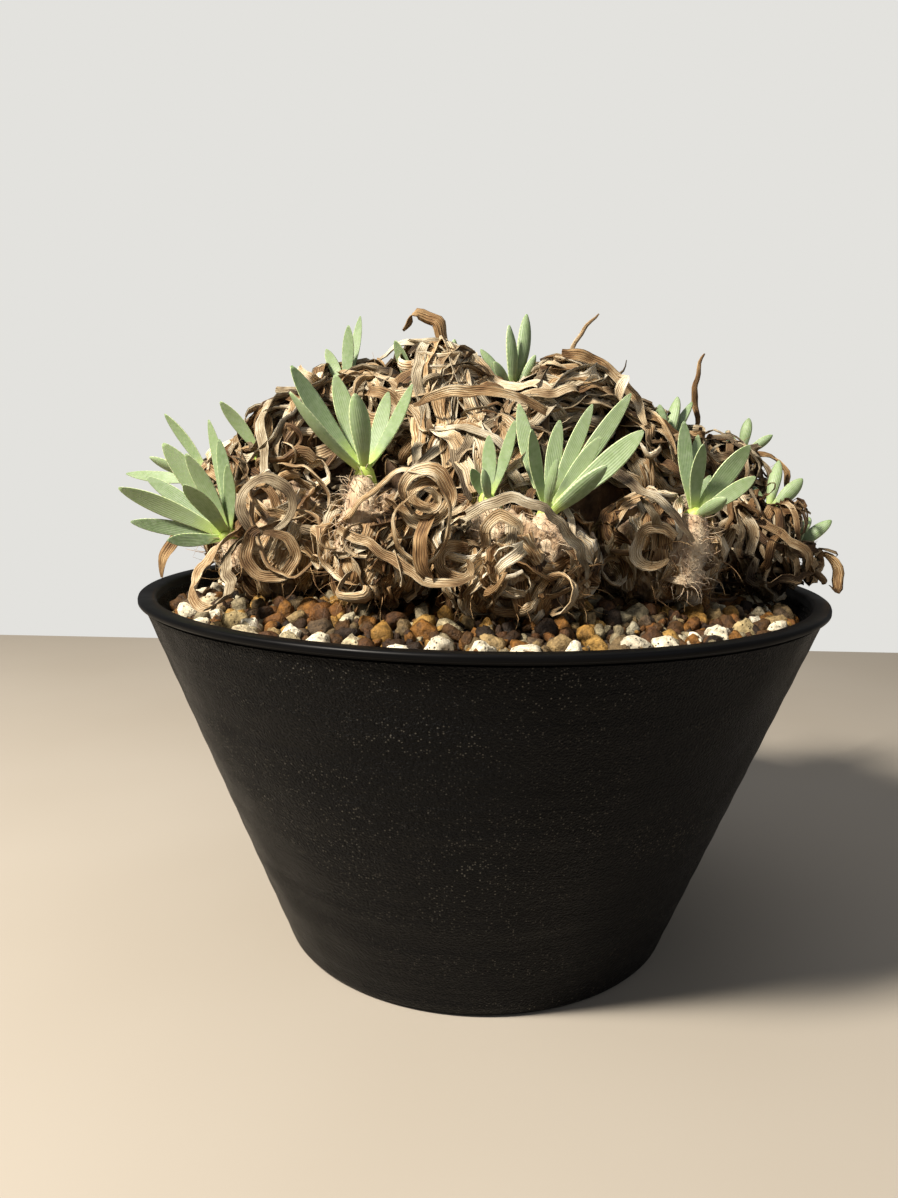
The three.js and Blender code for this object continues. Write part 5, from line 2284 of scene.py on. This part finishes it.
@dataclass
class Studio:
    """Camera, light, floor and the pale room round them."""

    frame_width: int = 898
    focal: float = 900.0
    eye: Triple = (0.0, -206.0, 109.5)
    pitch: float = 9.15
    yaw: float = -2.02
    roll: float = 0.73
    floor_size: Triple = (1500.0, -1500.0, 309.0)
    ambient: float = 0.19
    aim: Triple = (0.0, 0.0, 95.0)

    def add_camera(self) -> None:
        """Puts the camera where the photograph was taken from."""
        pitch, yaw, roll = (radians(v) for v in (self.pitch, self.yaw, self.roll))
        ahead = Vector((sin(yaw) * cos(pitch), cos(yaw) * cos(pitch),
                        -sin(pitch)))
        right = Vector((cos(yaw), -sin(yaw), 0.0))
        upright = right.cross(ahead)
        across = right * cos(roll) + upright * sin(roll)
        up = upright * cos(roll) - right * sin(roll)
        data = bpy.data.cameras.new("photo_camera")
        data.sensor_fit, data.sensor_width = "HORIZONTAL", 36.0
        data.lens = data.sensor_width * self.focal / self.frame_width
        data.clip_start = 0.01
        camera = new_object("photo_camera", data)
        turn = Matrix((across, up, -ahead)).transposed().to_4x4()
        camera.matrix_world = Matrix.Translation(Vector(self.eye) * MM) @ turn
        bpy.context.scene.camera = camera

    def add_light(self, name: str, place: Triple, size: float, power: float, colour: str) -> None:
        """Adds a soft light that shines on the plant.

        Args:
            name: The light's name.
            place: Its place in millimetres.
            size: The side of its square face in millimetres.
            power: Its power in watts.
            colour: Its colour.
        """
        data = bpy.data.lights.new(name, "AREA")
        data.shape, data.size, data.energy = "SQUARE", size * MM, power
        data.color = linear(colour)[:3]
        light = new_object(name, data)
        spot = Vector(place) * MM
        turn = (Vector(self.aim) * MM - spot).to_track_quat("-Z", "Y").to_matrix().to_4x4()
        light.matrix_world = Matrix.Translation(spot) @ turn

    def build_stage(self) -> None:
        """Lays the floor board, whose back edge shows behind the pot."""
        wide, near, far = self.floor_size
        floor = skin_mesh("floor", np.array([(-wide, near, 0), (wide, near, 0), (wide, far, 0),
                                             (-wide, far, 0)]), [[0, 1, 2, 3]])
        floor.materials.append(FLOOR_CARD.material())
        new_object("floor", floor)

    def hang_sky(self) -> None:
        """Makes the surroundings pale to the eye and dimmer as a source of light."""
        world = bpy.data.worlds.new("studio")
        world.use_nodes = True
        tree = world.node_tree
        tree.nodes.clear()
        seen = add_node(tree, "ShaderNodeLightPath").outputs["Is Camera Ray"]
        strength = add_node(tree, MAP_RANGE, None, [seen, 0.0, 1.0, self.ambient, 1.0])
        pale = add_node(tree, "ShaderNodeBackground", None, [linear("e3e2de"), strength])
        add_node(tree, "ShaderNodeOutputWorld", None, [pale])
        bpy.context.scene.world = world

    def build(self) -> None:
        """Sets up everything round the plant."""
        self.add_camera()
        self.add_light("key_light", (-390, -330, 600), 100, 14.0, "fff7ea")
        self.add_light("fill_light", (420, -420, 300), 500, 0.5, "e6eeff")
        self.add_light("top_light", (0, 60, 900), 700, 1.6, "f6f8ff")
        self.hang_sky()
        bpy.context.scene.view_settings.view_transform = "Standard"
        self.build_stage()


def main() -> None:
    """Builds the studio, then the part's pieces in order."""
    logging.basicConfig(level=logging.INFO, format="%(message)s")
    Studio().build()
    pot = Pot()
    pot.dress(pot.build())
    mix = PottingMix(pot)
    strew = Scatter("grain_scatter", stands_up=False)
    grains = [
        mix.build_grains("mix_grit_coarse", (1.4, 2.7, 4.0), (26.0, 67.5), strew, 2, GRIT),
        mix.build_grains("mix_grit_fine", (0.7, 1.4, 2.1), (24.0, 69.0), strew, 1, GRIT),
        mix.build_grains("mix_pumice", (1.8, 3.8, 6.8), (61.0, 66.5), strew, 3, PUMICE),
    ]
    mix.dress(mix.build_bed(), grains)
    rootstock = Rootstock()
    rootstock.dress(rootstock.build())
    Clump(mix).build_and_dress()


if __name__ == "__main__":
    main()
